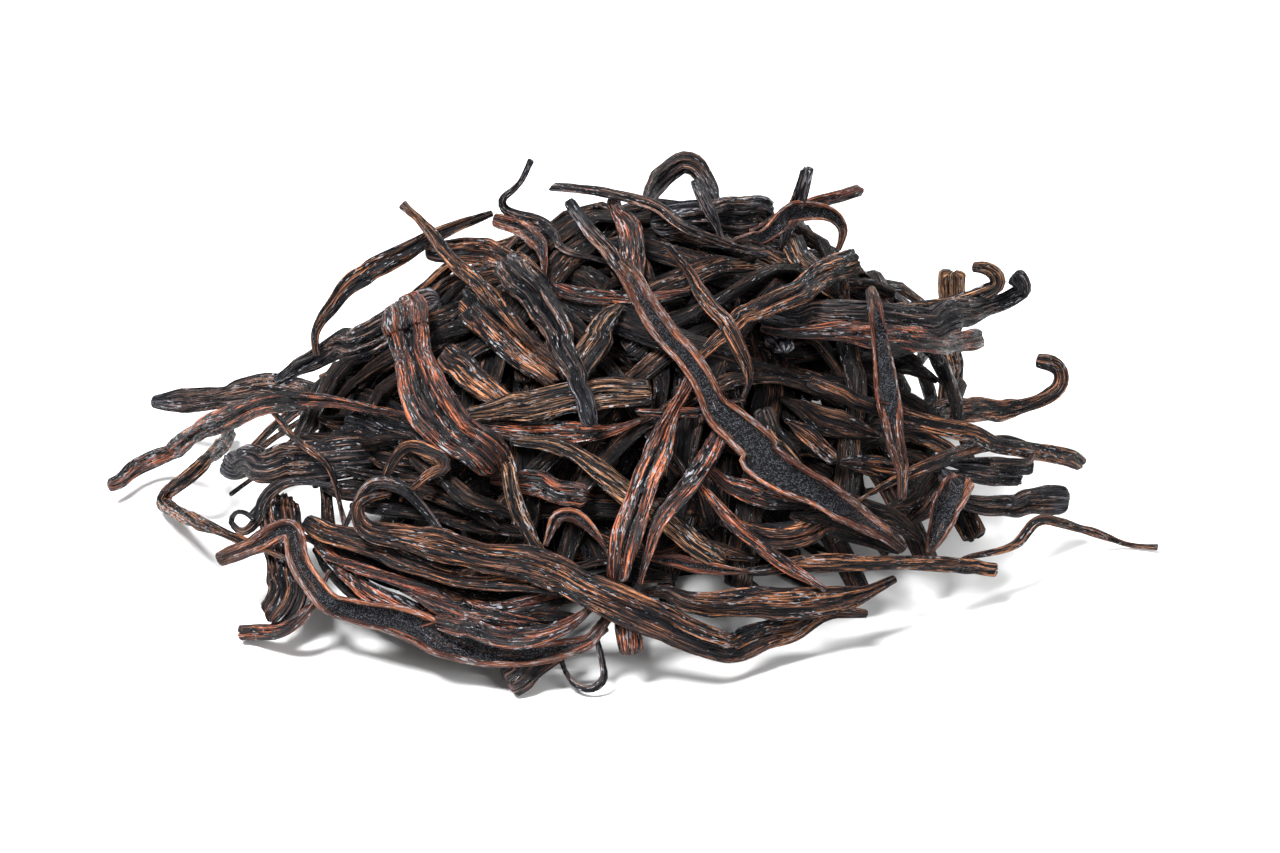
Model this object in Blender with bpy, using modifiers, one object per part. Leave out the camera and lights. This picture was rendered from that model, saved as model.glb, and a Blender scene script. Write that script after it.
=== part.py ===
"""A loose heap of dried vanilla pods, lying as it was tipped out on a table.

The heap is one solid: an uneven core with the pods that show fused onto it, each at its true
size and with few sides. Metres, +Z up, the middle of the heap's foot at the origin, and the side
that is looked at facing -Y.
"""
import math

import bmesh
import bpy
import numpy as np

MM = 0.001

# The mound that the pods lie on. Its height falls from the middle to nothing at the foot, which
# is an ellipse turned a little, so that the right side is set back.
MOUND_HALF_WIDTH = 124 * MM
MOUND_HALF_DEPTH = 90 * MM
MOUND_HEIGHT = 78 * MM
MOUND_FULLNESS = 1.7
MOUND_TURN = math.radians(14)

# The core is a little smaller than the mound, rounder at its shoulder, and stands on a flat foot.
CORE_HALF_WIDTH = 98 * MM
CORE_HALF_DEPTH = 70 * MM
CORE_HEIGHT = 74 * MM
CORE_FULLNESS = 2.3
CORE_RIM_HEIGHT = 3 * MM
CORE_PROFILE_POINTS = 7
CORE_SEGMENTS = 22

# A pod is a curve whose flattened section narrows towards its ends.
SECTION_SIDES = 5
THIN_POD_SIDES = 4
THIN_POD_WIDTH = 7.2 * MM
STATION_SPACING = 24 * MM
STATION_TURN = math.radians(50)
LINE_SPACING = 1.5 * MM
FLATNESS = {"dark": 0.55, "brown": 0.55, "red": 0.55, "tan": 0.45, "split": 0.4}
LARGEST_ROLL = math.radians(22)
FLOOR_GAP = 0.3 * MM
FLOOR_STEP = 0.01 * MM

# A pod that would float is moved up to its nearest neighbour until they overlap by this much.
JOIN_OVERLAP = 0.5 * MM
CORE_OF_SECTION = 0.65
TINY = 1e-9

# How wide a pod is near its ends: (share of the length from the end, share of the full width).
END_SHAPES = {
    "stem": ((0.0, 0.62), (0.04, 0.46), (0.14, 0.5), (0.32, 1.0)),
    "tail": ((0.0, 0.3), (0.1, 0.5), (0.34, 1.0)),
    "blunt": ((0.0, 0.7), (0.06, 0.92), (0.2, 1.0)),
    "cut": ((0.0, 0.95), (0.15, 1.0)),
}

# The sight line of the view that the shown pods are placed by.
VIEW_ELEVATION = math.radians(25)
VIEW_DISTANCE = 756 * MM
AIM_HEIGHT = 25 * MM
PICTURE_MIDDLE = (640.0, 426.5)
PIXELS_PER_METRE = 4000.0
FURTHEST_BACK = 68 * MM
SIGHT_REACH = 180 * MM
SIGHT_STEPS = 721

# The shown pods. Each has a name, a kind, its full width in mm, the shape of its two ends, and its
# route: the picture's column and row of each point, and how many mm it lies above the mound.
SHOWN_PODS = (
    ("red_left", "red", 6.5, "blunt tail",
     (108, 486, 6), (160, 455, 8), (215, 428, 10), (265, 402, 10), (330, 398, 7), (408, 416, 4)),
    ("back_left_thick", "dark", 9.5, "tail blunt",
     (275, 382, 1), (330, 352, 1), (385, 325, 0), (440, 300, -2)),
    ("arc_left", "dark", 6.5, "tail cut",
     (317, 356, 3), (319, 328, 8), (345, 290, 13), (390, 262, 13), (440, 236, 9), (493, 217, 6)),
    ("bent_left", "dark", 5.0, "blunt tail",
     (232, 432, 3), (200, 470, 3), (164, 502, 3), (200, 522, 3), (245, 543, 3), (290, 560, 3)),
    ("blunt_left", "dark", 10.0, "blunt cut",
     (232, 460, 2), (290, 464, 2), (345, 462, 0), (400, 455, -3)),
    ("ring_left", "dark", 2.8, "tail tail",
     (340, 486, 1), (290, 482, 4), (265, 498, 5), (256, 522, 5), (240, 531, 5), (231, 520, 7),
     (242, 511, 8), (254, 520, 7)),
    ("split_front_left", "split", 7.5, "stem tail",
     (217, 560, 3), (250, 543, 6), (286, 526, 9), (308, 572, 7), (342, 610, 5), (400, 624, 5),
     (455, 643, 5), (520, 652, 5), (575, 640, 5), (612, 612, 4)),
    ("stump_left", "brown", 9.0, "cut cut",
     (282, 500, -2), (284, 550, -2), (287, 600, 2), (272, 622, 3)),
    ("foot_left", "red", 4.0, "cut tail",
     (240, 633, 2), (280, 628, 2), (310, 602, 2), (330, 570, 2)),
    ("stick_left", "brown", 2.6, "tail tail",
     (268, 405, 6), (300, 443, 6), (330, 468, 4), (345, 525, 2)),
    ("second_front", "brown", 6.0, "blunt tail",
     (304, 521, 4), (375, 548, 4), (450, 578, 4), (520, 584, 3), (590, 594, 2), (640, 602, 0)),
    ("long_front", "brown", 9.5, "tail cut",
     (392, 492, 4), (368, 500, 6), (366, 520, 7), (385, 536, 7), (450, 548, 8), (530, 562, 9),
     (590, 585, 10), (650, 612, 11), (700, 634, 9), (735, 645, 5), (780, 630, 3), (865, 615, 3)),
    ("vee_stick", "dark", 3.6, "tail tail",
     (342, 532, 3), (366, 488, 6), (402, 487, 6), (428, 512, 4), (450, 545, 2)),
    ("big_red", "red", 12.5, "blunt tail",
     (398, 302, 6), (410, 345, 8), (426, 395, 8), (458, 432, 6), (497, 470, 3)),
    ("strap_top_left", "brown", 5.6, "stem tail",
     (402, 204, 9), (440, 248, 9), (480, 292, 7), (510, 320, 5), (528, 342, 3)),
    ("strap_middle", "dark", 8.0, "tail blunt",
     (505, 262, 2), (538, 300, 6), (562, 352, 8), (580, 395, 9), (591, 426, 9)),
    ("thin_top_curl", "dark", 3.2, "stem tail",
     (531, 159, 7), (518, 184, 5), (500, 202, 4), (512, 215, 4), (545, 226, 4), (566, 250, 3),
     (610, 262, 0)),
    ("split_top_left", "split", 5.2, "blunt tail",
     (498, 237, 4), (525, 226, 6), (545, 248, 5), (545, 280, 3)),
    ("left_middle_2", "brown", 7.0, "blunt tail",
     (445, 350, 0), (470, 375, 2), (500, 400, 2), (540, 425, 0)),
    ("loop_middle", "brown", 3.8, "tail tail",
     (380, 495, 1), (392, 465, 4), (412, 448, 5), (448, 466, 5), (425, 480, 4), (400, 500, 2)),
    ("tan_bed", "tan", 8.5, "stem cut",
     (445, 420, 4), (500, 412, 4), (570, 402, 4), (650, 392, 4)),
    ("thin_bar", "red", 3.2, "cut tail",
     (638, 412, 5), (690, 413, 6), (745, 400, 4)),
    ("ladder_bar", "red", 4.6, "cut tail",
     (545, 286, 1), (600, 296, 3), (650, 298, 1), (690, 292, 1)),
    ("orange_middle", "tan", 8.0, "cut tail",
     (570, 382, 1), (595, 345, 3), (622, 305, 2)),
    ("grey_stub_top", "dark", 3.8, "blunt tail",
     (569, 200, 12), (588, 230, 9), (618, 262, 6), (650, 300, 2)),
    ("top_crossing", "dark", 3.8, "cut tail",
     (552, 187, 12), (600, 190, 12), (655, 205, 9), (690, 232, 7), (735, 246, 6), (768, 256, 4)),
    ("upright_red", "red", 7.0, "stem tail",
     (612, 198, 9), (628, 235, 7), (634, 265, 5), (642, 295, 3)),
    ("top_log", "dark", 10.5, "blunt cut",
     (650, 222, 3), (700, 214, 5), (770, 218, 3)),
    ("top_knot", "dark", 5.2, "tail tail",
     (640, 210, 6), (662, 178, 10), (685, 163, 12), (704, 182, 10), (720, 210, 6)),
    ("knot_stick", "dark", 3.6, "blunt tail",
     (697, 180, 12), (710, 208, 10), (722, 240, 6)),
    ("grey_stub_right", "dark", 4.0, "cut tail",
     (806, 168, 10), (799, 192, 7), (790, 218, 4), (782, 250, 1)),
    ("stick_right_top", "red", 3.8, "cut tail",
     (862, 190, 6), (830, 198, 5), (790, 212, 4), (750, 232, 2)),
    ("arch_split", "split", 6.0, "tail tail",
     (735, 240, 4), (775, 230, 5), (792, 212, 7), (830, 213, 8), (845, 228, 7), (838, 250, 4)),
    ("tan_stub", "tan", 6.5, "cut tail",
     (792, 240, 4), (812, 265, 3), (840, 300, 0)),
    ("long_diagonal", "brown", 7.0, "cut tail",
     (856, 262, 7), (815, 277, 8), (770, 303, 9), (730, 335, 9), (690, 365, 6)),
    ("orange_strap", "tan", 5.5, "stem tail",
     (668, 249, 8), (700, 288, 12), (730, 332, 14), (750, 372, 11), (744, 398, 7)),
    ("long_split", "split", 11.0, "tail tail",
     (618, 262, 6), (645, 312, 8), (690, 368, 10), (735, 420, 11), (785, 472, 11), (840, 508, 9),
     (905, 550, 5)),
    ("upright_split", "split", 6.5, "tail tail",
     (870, 288, 7), (881, 340, 9), (890, 395, 9), (896, 445, 9), (902, 500, 6)),
    ("dark_hook_right", "dark", 8.5, "stem cut",
     (1013, 275, 9), (1019, 294, 9), (985, 312, 9), (930, 320, 7), (850, 320, 5), (760, 312, 1)),
    ("dark_right_lower", "red", 7.5, "blunt tail",
     (982, 336, 6), (930, 338, 5), (850, 336, 4), (760, 328, 1)),
    ("tan_curl_right", "tan", 3.8, "stem tail",
     (972, 267, 6), (990, 270, 6), (996, 285, 6), (965, 299, 5), (915, 308, 3), (860, 312, 0)),
    ("long_right", "brown", 5.0, "blunt cut",
     (1082, 466, 6), (1060, 455, 7), (980, 436, 8), (920, 420, 8), (860, 400, 6), (810, 382, 2)),
    ("curled_right", "brown", 3.8, "stem tail",
     (990, 462, 6), (1024, 462, 7), (1028, 447, 7), (1000, 441, 7), (950, 455, 6), (900, 478, 5),
     (855, 502, 3)),
    ("flat_right", "dark", 4.6, "blunt tail",
     (1033, 468, 4), (990, 464, 4), (940, 462, 2)),
    ("flat_right_low", "dark", 4.2, "cut tail",
     (1020, 480, 2), (975, 477, 3), (930, 470, 1)),
    ("club_right", "dark", 6.8, "blunt tail",
     (1068, 500, 4), (1035, 505, 3), (975, 498, 4), (940, 470, 5)),
    ("thin_far_right", "brown", 3.2, "tail tail",
     (1158, 547, 2), (1130, 543, 2), (1085, 528, 4), (1040, 521, 5), (1015, 545, 3),
     (965, 558, 2), (930, 568, 2)),
    ("vee_split_right", "split", 6.0, "tail cut",
     (928, 555, 2), (943, 512, 5), (962, 478, 5)),
    ("low_right", "brown", 4.8, "cut tail",
     (996, 570, 2), (940, 562, 3), (860, 562, 4), (790, 566, 4), (720, 572, 2)),
    ("front_right_wide", "brown", 8.2, "blunt tail",
     (888, 586, 2), (850, 596, 3), (780, 602, 4), (700, 600, 4), (640, 592, 2)),
    ("purple_strap", "red", 4.6, "tail tail",
     (694, 478, 5), (725, 518, 8), (765, 548, 9), (800, 572, 8), (826, 590, 6)),
    ("tall_front_1", "red", 7.2, "stem blunt",
     (692, 378, 5), (668, 432, 8), (645, 490, 11), (626, 545, 13), (618, 582, 9)),
    ("tall_front_2", "red", 4.6, "blunt tail",
     (722, 430, 5), (692, 478, 9), (662, 520, 11), (648, 555, 10), (640, 585, 7)),
    ("olive_diagonal", "tan", 6.5, "tail blunt",
     (510, 440, 2), (560, 448, 3), (610, 480, 4), (660, 512, 4), (725, 560, 3)),
    ("olive_stick", "tan", 4.0, "cut tail",
     (504, 455, 3), (515, 500, 6), (537, 545, 7), (558, 572, 5)),
    ("tan_plank", "tan", 6.2, "cut tail",
     (763, 410, 4), (778, 438, 3), (802, 465, 1)),
    ("stub_front", "brown", 7.0, "cut tail",
     (508, 682, 3), (535, 665, 3), (575, 640, 3)),
    ("hook_front", "dark", 2.7, "tail tail",
     (560, 655, 2), (568, 678, 2), (588, 688, 2), (604, 678, 2), (602, 655, 2), (592, 630, 2)),
    ("foot_front", "red", 5.8, "blunt tail",
     (632, 655, 3), (626, 625, 4), (620, 590, 4)),
    ("red_rope", "red", 5.4, "tail tail",
     (395, 632, 3), (450, 622, 6), (505, 640, 7), (560, 630, 6), (600, 600, 4)),
    ("red_rope_low", "red", 5.0, "tail tail",
     (455, 650, 3), (510, 660, 3), (570, 652, 3), (608, 628, 3)),
)

# Pods that stand clear of the mound: as above, but each point's last number is its depth in mm
# behind the heap's middle.
STANDING_PODS = (
    ("stump_right", "tan", 7.2, "cut tail",
     (953, 272, 56), (952, 340, 58), (949, 410, 60)),
    ("crescent_right", "brown", 5.6, "stem blunt",
     (1036, 360, 30), (1056, 368, 30), (1060, 388, 30), (1020, 408, 27), (955, 410, 20),
     (890, 425, 5)),
    ("back_left", "dark", 9.5, "stem blunt",
     (151, 402, 40), (205, 400, 34), (265, 392, 26), (330, 400, 12)),
)

# The pods on the far side follow a rule: they are scattered over the mound there, and stay sheltered
# behind it from the side that the shown pods are seen from.
BACK_PODS = 24
BACK_SEED = 11
BACK_KINDS = ("dark", "brown", "red", "dark", "tan", "brown", "split")
BACK_ENDS = ("blunt tail", "stem tail", "cut tail", "stem blunt")
BACK_LENGTHS = (62 * MM, 118 * MM)
BACK_WIDTHS = (4.4, 9.0)
BACK_ARC = (-25.0, 200.0)
BACK_RINGS = (0.3, 0.85)
BACK_LIFTS = (-3.0, 3.0)
FURTHEST_RING = 1.05
FURTHEST_RIGHT = 78 * MM
NEAREST_BACK_POD = 12 * MM
FLANK_SLANT = 0.3
SHELTER_ROOM = 1.0 * MM
SHELTER_REACH = 160 * MM
SHELTER_STEPS = 81
UPPER_SIDE_SHARE = 0.35
ROUTE_POINTS = 5
GOLDEN_SHARE = 0.618


def mound_ring(x, y):
    """How far out a point of the table is: 0 at the mound's middle, and 1 at its foot."""
    along = x * math.cos(MOUND_TURN) + y * math.sin(MOUND_TURN)
    across = y * math.cos(MOUND_TURN) - x * math.sin(MOUND_TURN)
    return np.hypot(along / MOUND_HALF_WIDTH, across / MOUND_HALF_DEPTH)


def mound_height(x, y):
    """Height of the mound's surface over a point of the table."""
    return MOUND_HEIGHT * (1 - np.minimum(mound_ring(x, y), 1.0) ** MOUND_FULLNESS)


def core_height(ring):
    """Height of the core's surface at a share of its half width or depth."""
    return CORE_RIM_HEIGHT + (CORE_HEIGHT - CORE_RIM_HEIGHT) * (1 - ring ** CORE_FULLNESS)


def sight_points(column, row):
    """Points along the line of sight through a point of the picture, nearest first."""
    up = np.array((0.0, math.sin(VIEW_ELEVATION), math.cos(VIEW_ELEVATION)))
    ahead = np.array((0.0, math.cos(VIEW_ELEVATION), -math.sin(VIEW_ELEVATION)))
    eye = np.array((0.0, 0.0, AIM_HEIGHT)) - ahead * VIEW_DISTANCE
    focal = PIXELS_PER_METRE * VIEW_DISTANCE
    across = (column - PICTURE_MIDDLE[0]) / focal
    above = (PICTURE_MIDDLE[1] - row) / focal
    ray = ahead + np.array((across, 0.0, 0.0)) + up * above
    reach = np.linspace(VIEW_DISTANCE - SIGHT_REACH, VIEW_DISTANCE + SIGHT_REACH, SIGHT_STEPS)
    return eye + reach[:, None] * ray


def laid(column, row, lift_mm):
    """Where a line of sight meets the mound, raised by a lift, or passes closest over it."""
    points = sight_points(column, row)
    points = points[points[:, 1] <= FURTHEST_BACK]
    over = points[:, 2] - mound_height(points[:, 0], points[:, 1]) - lift_mm * MM
    under = np.nonzero(over <= 0)[0]
    return points[under[0] if len(under) else np.argmin(over)]


def standing(column, row, depth_mm):
    """Where a line of sight passes the depth at which a pod stands."""
    points = sight_points(column, row)
    return points[np.argmin(np.abs(points[:, 1] - depth_mm * MM))]


def shelter(route, width):
    """How far below the mound's surface the line of sight to each point of a pod's upper side passes."""
    towards_eye = np.array((0.0, -math.cos(VIEW_ELEVATION), math.sin(VIEW_ELEVATION)))
    upper = route + np.array((0.0, 0.0, UPPER_SIDE_SHARE * width))
    passed = upper + np.linspace(0, SHELTER_REACH, SHELTER_STEPS)[:, None, None] * towards_eye
    return (mound_height(passed[..., 0], passed[..., 1]) - passed[..., 2]).max(axis=0)


def back_routes():
    """(kind, width, ends, route) of each pod on the far side."""
    rng = np.random.RandomState(BACK_SEED)
    found = []
    tries = 0
    while len(found) < BACK_PODS:
        tries += 1
        share = (tries * GOLDEN_SHARE) % 1
        angle = math.radians(BACK_ARC[0] + share * (BACK_ARC[1] - BACK_ARC[0]))
        ring = rng.uniform(*BACK_RINGS)
        middle = ring * np.array((MOUND_HALF_WIDTH * math.cos(angle),
                                  MOUND_HALF_DEPTH * math.sin(angle)))
        heading = rng.uniform(0, math.pi)
        length = rng.uniform(*BACK_LENGTHS)
        bend = rng.uniform(-0.2, 0.2) * length
        lift = rng.uniform(*BACK_LIFTS) * MM
        along = np.array((math.cos(heading), math.sin(heading)))
        aside = np.array((-along[1], along[0]))
        width = rng.uniform(*BACK_WIDTHS)
        kind = BACK_KINDS[rng.randint(len(BACK_KINDS))]
        ends = BACK_ENDS[rng.randint(len(BACK_ENDS))]
        shares = np.linspace(-0.5, 0.5, ROUTE_POINTS)
        plan = middle + shares[:, None] * length * along + (shares ** 2)[:, None] * 4 * bend * aside
        behind = plan[:, 1] + FLANK_SLANT * np.abs(plan[:, 0])
        heights = np.maximum(mound_height(plan[:, 0], plan[:, 1]) + lift, width * MM / 3)
        route = np.column_stack([plan, heights])
        if behind.min() < NEAREST_BACK_POD or mound_ring(*plan.T).max() > FURTHEST_RING:
            continue
        if plan[:, 0].max() > FURTHEST_RIGHT or shelter(route, width * MM).min() < SHELTER_ROOM:
            continue
        found.append((kind, width, ends, route))
    return found


def smooth_route(points, per_span=12):
    """A smooth curve through a route's own points."""
    points = np.asarray(points, float)
    padded = np.vstack([2 * points[0] - points[1], points, 2 * points[-1] - points[-2]])
    t = np.linspace(0, 1, per_span, endpoint=False)[:, None]
    spans = []
    for a, b, c, d in zip(padded, padded[1:], padded[2:], padded[3:]):
        spans.append(0.5 * (2 * b + (c - a) * t + (2 * a - 5 * b + 4 * c - d) * t ** 2
                            + (3 * b - a - 3 * c + d) * t ** 3))
    return np.vstack(spans + [points[-1:]])


def stations(curve):
    """A few points of the curve, closer where it turns, and each one's share of the length."""
    steps = np.diff(curve, axis=0)
    lengths = np.linalg.norm(steps, axis=1)
    directions = steps / lengths[:, None]
    turns = np.arccos(np.clip((directions[1:] * directions[:-1]).sum(axis=1), -1, 1))
    need = np.concatenate([[0], lengths / STATION_SPACING])
    need[2:] += turns / STATION_TURN
    need = np.cumsum(need)
    travelled = np.concatenate([[0], np.cumsum(lengths)])
    count = max(3, int(math.ceil(need[-1])))
    at = np.interp(np.linspace(0, need[-1], count + 1), need, travelled)
    points = np.stack([np.interp(at, travelled, curve[:, i]) for i in range(3)], axis=1)
    return points, at / travelled[-1]


def fine_line(points):
    """Points set close together along straight spans."""
    travelled = np.concatenate([[0], np.cumsum(np.linalg.norm(np.diff(points, axis=0), axis=1))])
    at = np.linspace(0, travelled[-1], int(travelled[-1] / LINE_SPACING) + 2)
    return np.stack([np.interp(at, travelled, points[:, i]) for i in range(3)], axis=1)


def end_width(shares, ends):
    """Share of the full width at each share of the length."""
    first, last = ends.split()
    return np.minimum(np.interp(shares, *zip(*END_SHAPES[first])),
                      np.interp(1 - shares, *zip(*END_SHAPES[last])))


def core_points():
    """Points spread over the core's surface."""
    angles = np.linspace(0, 2 * math.pi, 90, endpoint=False)[:, None]
    ring = np.linspace(0, 1, 40)
    along = CORE_HALF_WIDTH * ring * np.cos(angles)
    across = CORE_HALF_DEPTH * ring * np.sin(angles)
    x = along * math.cos(MOUND_TURN) - across * math.sin(MOUND_TURN)
    y = along * math.sin(MOUND_TURN) + across * math.cos(MOUND_TURN)
    z = np.broadcast_to(core_height(ring), x.shape)
    return np.stack([x, y, z], axis=-1).reshape(-1, 3)


def closest_pair(line, room, others, others_room):
    """The step that brings a line up to its nearest neighbour, and the gap that it closes."""
    away = others[None, :, :] - line[:, None, :]
    gaps = np.linalg.norm(away, axis=2) - others_room[None, :] - room[:, None]
    i, j = np.unravel_index(np.argmin(gaps), gaps.shape)
    return away[i, j] / max(np.linalg.norm(away[i, j]), TINY), gaps[i, j]


def joined_up(pods):
    """Moves each pod that would float up to the heap, starting with those nearest to the core."""
    core = core_points()
    waiting = {number: closest_pair(pod["line"], pod["room"], core, np.zeros(len(core)))
               for number, pod in enumerate(pods)}
    while waiting:
        number = min(waiting, key=lambda n: waiting[n][1])
        step, gap = waiting.pop(number)
        pod = pods[number]
        shift = step * max(0.0, gap + JOIN_OVERLAP)
        pod["line"] = pod["line"] + shift
        pod["points"] = pod["points"] + shift
        for other in waiting:
            found = closest_pair(pods[other]["line"], pods[other]["room"], pod["line"], pod["room"])
            if found[1] < waiting[other][1]:
                waiting[other] = found
    return pods


def heap_pods():
    """Every pod of the heap, with its few stations and its half width at each."""
    routes = [(kind, width, ends, [laid(*point) for point in seen])
              for _, kind, width, ends, *seen in SHOWN_PODS]
    routes += [(kind, width, ends, [standing(*point) for point in seen])
               for _, kind, width, ends, *seen in STANDING_PODS]
    routes += back_routes()
    pods = []
    for number, (kind, width_mm, ends, route) in enumerate(routes):
        points, shares = stations(smooth_route(route))
        widths = end_width(shares, ends) * width_mm * MM / 2
        line = fine_line(points)
        room = np.interp(np.linspace(0, 1, len(line)), shares, widths)
        pods.append({
            "name": f"pod_{number:02d}",
            "kind": kind,
            "sides": THIN_POD_SIDES if width_mm * MM < THIN_POD_WIDTH else SECTION_SIDES,
            "points": points,
            "widths": widths,
            "line": line,
            "room": CORE_OF_SECTION * FLATNESS[kind] * room,
            "roll": LARGEST_ROLL * math.sin(number * 2.4),
            "floor": FLOOR_GAP + number * FLOOR_STEP,
        })
    return joined_up(pods)


def section_object(kind, sides):
    """A pod's flattened section, one unit from middle to side, which a curve's radius scales."""
    outline = bpy.data.curves.new(f"{kind}_{sides}_sided", "CURVE")
    corners = outline.splines.new("POLY")
    corners.points.add(sides - 1)
    corners.use_cyclic_u = True
    for k, corner in enumerate(corners.points):
        angle = 2 * math.pi * k / sides
        corner.co = (math.cos(angle), FLATNESS[kind] * math.sin(angle), 0, 1)
    return bpy.data.objects.new(outline.name, outline)


def pod_curve(pod, section):
    """A pod as a curve whose radius follows its width."""
    curve = bpy.data.curves.new(pod["name"], "CURVE")
    curve.dimensions = "3D"
    curve.twist_mode = "Z_UP"
    curve.bevel_mode = "OBJECT"
    curve.bevel_object = section
    curve.use_fill_caps = True
    spline = curve.splines.new("POLY")
    spline.points.add(len(pod["points"]) - 1)
    for station, place, width in zip(spline.points, pod["points"], pod["widths"]):
        station.co = (*place, 1)
        station.radius = width
        station.tilt = pod["roll"]
    return bpy.data.objects.new(pod["name"], curve)


def pod_solid(tube, floor):
    """A pod's curve made a closed mesh that stays clear of the table."""
    graph = bpy.context.evaluated_depsgraph_get()
    mesh = bpy.data.meshes.new_from_object(tube.evaluated_get(graph))
    bm = bmesh.new()
    bm.from_mesh(mesh)
    bmesh.ops.remove_doubles(bm, verts=bm.verts, dist=0.00001)
    for vert in bm.verts:
        vert.co.z = max(vert.co.z, floor)
    bmesh.ops.recalc_face_normals(bm, faces=bm.faces)
    bmesh.ops.triangulate(bm, faces=bm.faces)
    bm.to_mesh(mesh)
    bm.free()
    solid = bpy.data.objects.new(f"{tube.name}_solid", mesh)
    solid.matrix_world = tube.matrix_world
    return solid


def pod_collection():
    """Every pod to be fused, each its own object, in one collection."""
    pods = bpy.data.collections.new("pods")
    bpy.context.scene.collection.children.link(pods)
    sections = {(kind, sides): section_object(kind, sides)
                for kind in FLATNESS for sides in (THIN_POD_SIDES, SECTION_SIDES)}
    for section in sections.values():
        bpy.context.scene.collection.objects.link(section)
    heap = heap_pods()
    tubes = [pod_curve(pod, sections[pod["kind"], pod["sides"]]) for pod in heap]
    for tube in tubes:
        bpy.context.scene.collection.objects.link(tube)
    for pod, tube in zip(heap, tubes):
        pods.objects.link(pod_solid(tube, pod["floor"]))
    for spent in [*tubes, *sections.values()]:
        bpy.data.objects.remove(spent)
    return pods


def core_object():
    """The heap's inside: a low dome on a flat foot, turned about its middle."""
    bm = bmesh.new()
    profile = [bm.verts.new((ring * CORE_HALF_WIDTH, 0, core_height(ring)))
               for ring in np.linspace(0, 1, CORE_PROFILE_POINTS)]
    profile.append(bm.verts.new((CORE_HALF_WIDTH, 0, 0)))
    profile.append(bm.verts.new((0, 0, 0)))
    for upper, lower in zip(profile, profile[1:]):
        bm.edges.new((upper, lower))
    mesh = bpy.data.meshes.new("core")
    bm.to_mesh(mesh)
    bm.free()
    core = bpy.data.objects.new("core", mesh)
    core.rotation_euler.z = MOUND_TURN
    core.scale.y = CORE_HALF_DEPTH / CORE_HALF_WIDTH
    turned = core.modifiers.new("Turned", "SCREW")
    turned.steps = turned.render_steps = CORE_SEGMENTS
    turned.use_merge_vertices = True
    turned.merge_threshold = 0.0001
    turned.use_smooth_shade = False
    return core


def outer_shell(mesh):
    """Leaves only the outer shell: sealed hollows are filled, and loose scraps dropped."""
    bm = bmesh.new()
    bm.from_mesh(mesh)
    bmesh.ops.triangulate(bm, faces=bm.faces)
    unseen = set(bm.faces)
    shells = []
    while unseen:
        shell, reached = [], [unseen.pop()]
        while reached:
            face = reached.pop()
            shell.append(face)
            for edge in face.edges:
                if len(edge.link_faces) == 2:
                    beyond = [other for other in edge.link_faces if other in unseen]
                    unseen.difference_update(beyond)
                    reached.extend(beyond)
        shells.append(shell)
    shells.sort(key=len)
    print("shells", [len(shell) for shell in shells])
    for shell in shells[:-1]:
        bmesh.ops.delete(bm, geom=shell, context="FACES")
    loose = [vert for vert in bm.verts if not vert.link_faces]
    bmesh.ops.delete(bm, geom=loose, context="VERTS")
    bm.to_mesh(mesh)
    bm.free()


def pod_skin():
    """Cured vanilla: near-black brown with a slight oily sheen."""
    skin = bpy.data.materials.new("vanilla_skin")
    skin.use_nodes = True
    shader = skin.node_tree.nodes["Principled BSDF"]
    shader.inputs["Base Color"].default_value = (0.045, 0.022, 0.014, 1)
    shader.inputs["Roughness"].default_value = 0.42
    return skin


def build():
    for obj in list(bpy.data.objects):
        bpy.data.objects.remove(obj)
    heap_collection = bpy.data.collections.new("vanilla_pod_heap")
    bpy.context.scene.collection.children.link(heap_collection)
    pods = pod_collection()
    core = core_object()
    heap_collection.objects.link(core)
    fused = core.modifiers.new("Fused", "BOOLEAN")
    fused.operation = "UNION"
    fused.operand_type = "COLLECTION"
    fused.collection = pods
    fused.solver = "MANIFOLD"
    bpy.context.view_layer.update()
    graph = bpy.context.evaluated_depsgraph_get()
    mesh = bpy.data.meshes.new_from_object(core.evaluated_get(graph))
    mesh.transform(core.matrix_world)
    for obj in [*pods.objects, core]:
        bpy.data.objects.remove(obj)
    bpy.data.collections.remove(pods)
    outer_shell(mesh)
    mesh.materials.clear()
    mesh.materials.append(pod_skin())
    heap_collection.objects.link(bpy.data.objects.new("vanilla_pods", mesh))


build()
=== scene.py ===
"""A loose heap of dried vanilla pods on a pale table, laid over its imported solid."""
import math

import bpy
import numpy as np
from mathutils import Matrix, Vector


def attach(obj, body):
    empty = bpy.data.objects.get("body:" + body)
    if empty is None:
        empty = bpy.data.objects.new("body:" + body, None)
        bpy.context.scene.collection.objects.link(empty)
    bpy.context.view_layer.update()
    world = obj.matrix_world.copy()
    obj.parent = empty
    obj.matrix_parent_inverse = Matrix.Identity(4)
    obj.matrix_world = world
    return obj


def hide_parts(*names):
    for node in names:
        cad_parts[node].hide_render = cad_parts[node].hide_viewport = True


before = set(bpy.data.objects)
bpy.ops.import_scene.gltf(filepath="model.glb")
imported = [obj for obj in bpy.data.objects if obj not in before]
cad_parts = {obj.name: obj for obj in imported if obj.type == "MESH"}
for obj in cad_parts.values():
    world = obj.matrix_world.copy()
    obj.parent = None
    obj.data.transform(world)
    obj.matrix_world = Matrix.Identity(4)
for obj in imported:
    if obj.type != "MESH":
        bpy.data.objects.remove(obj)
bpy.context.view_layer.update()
MM = 0.001

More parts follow.
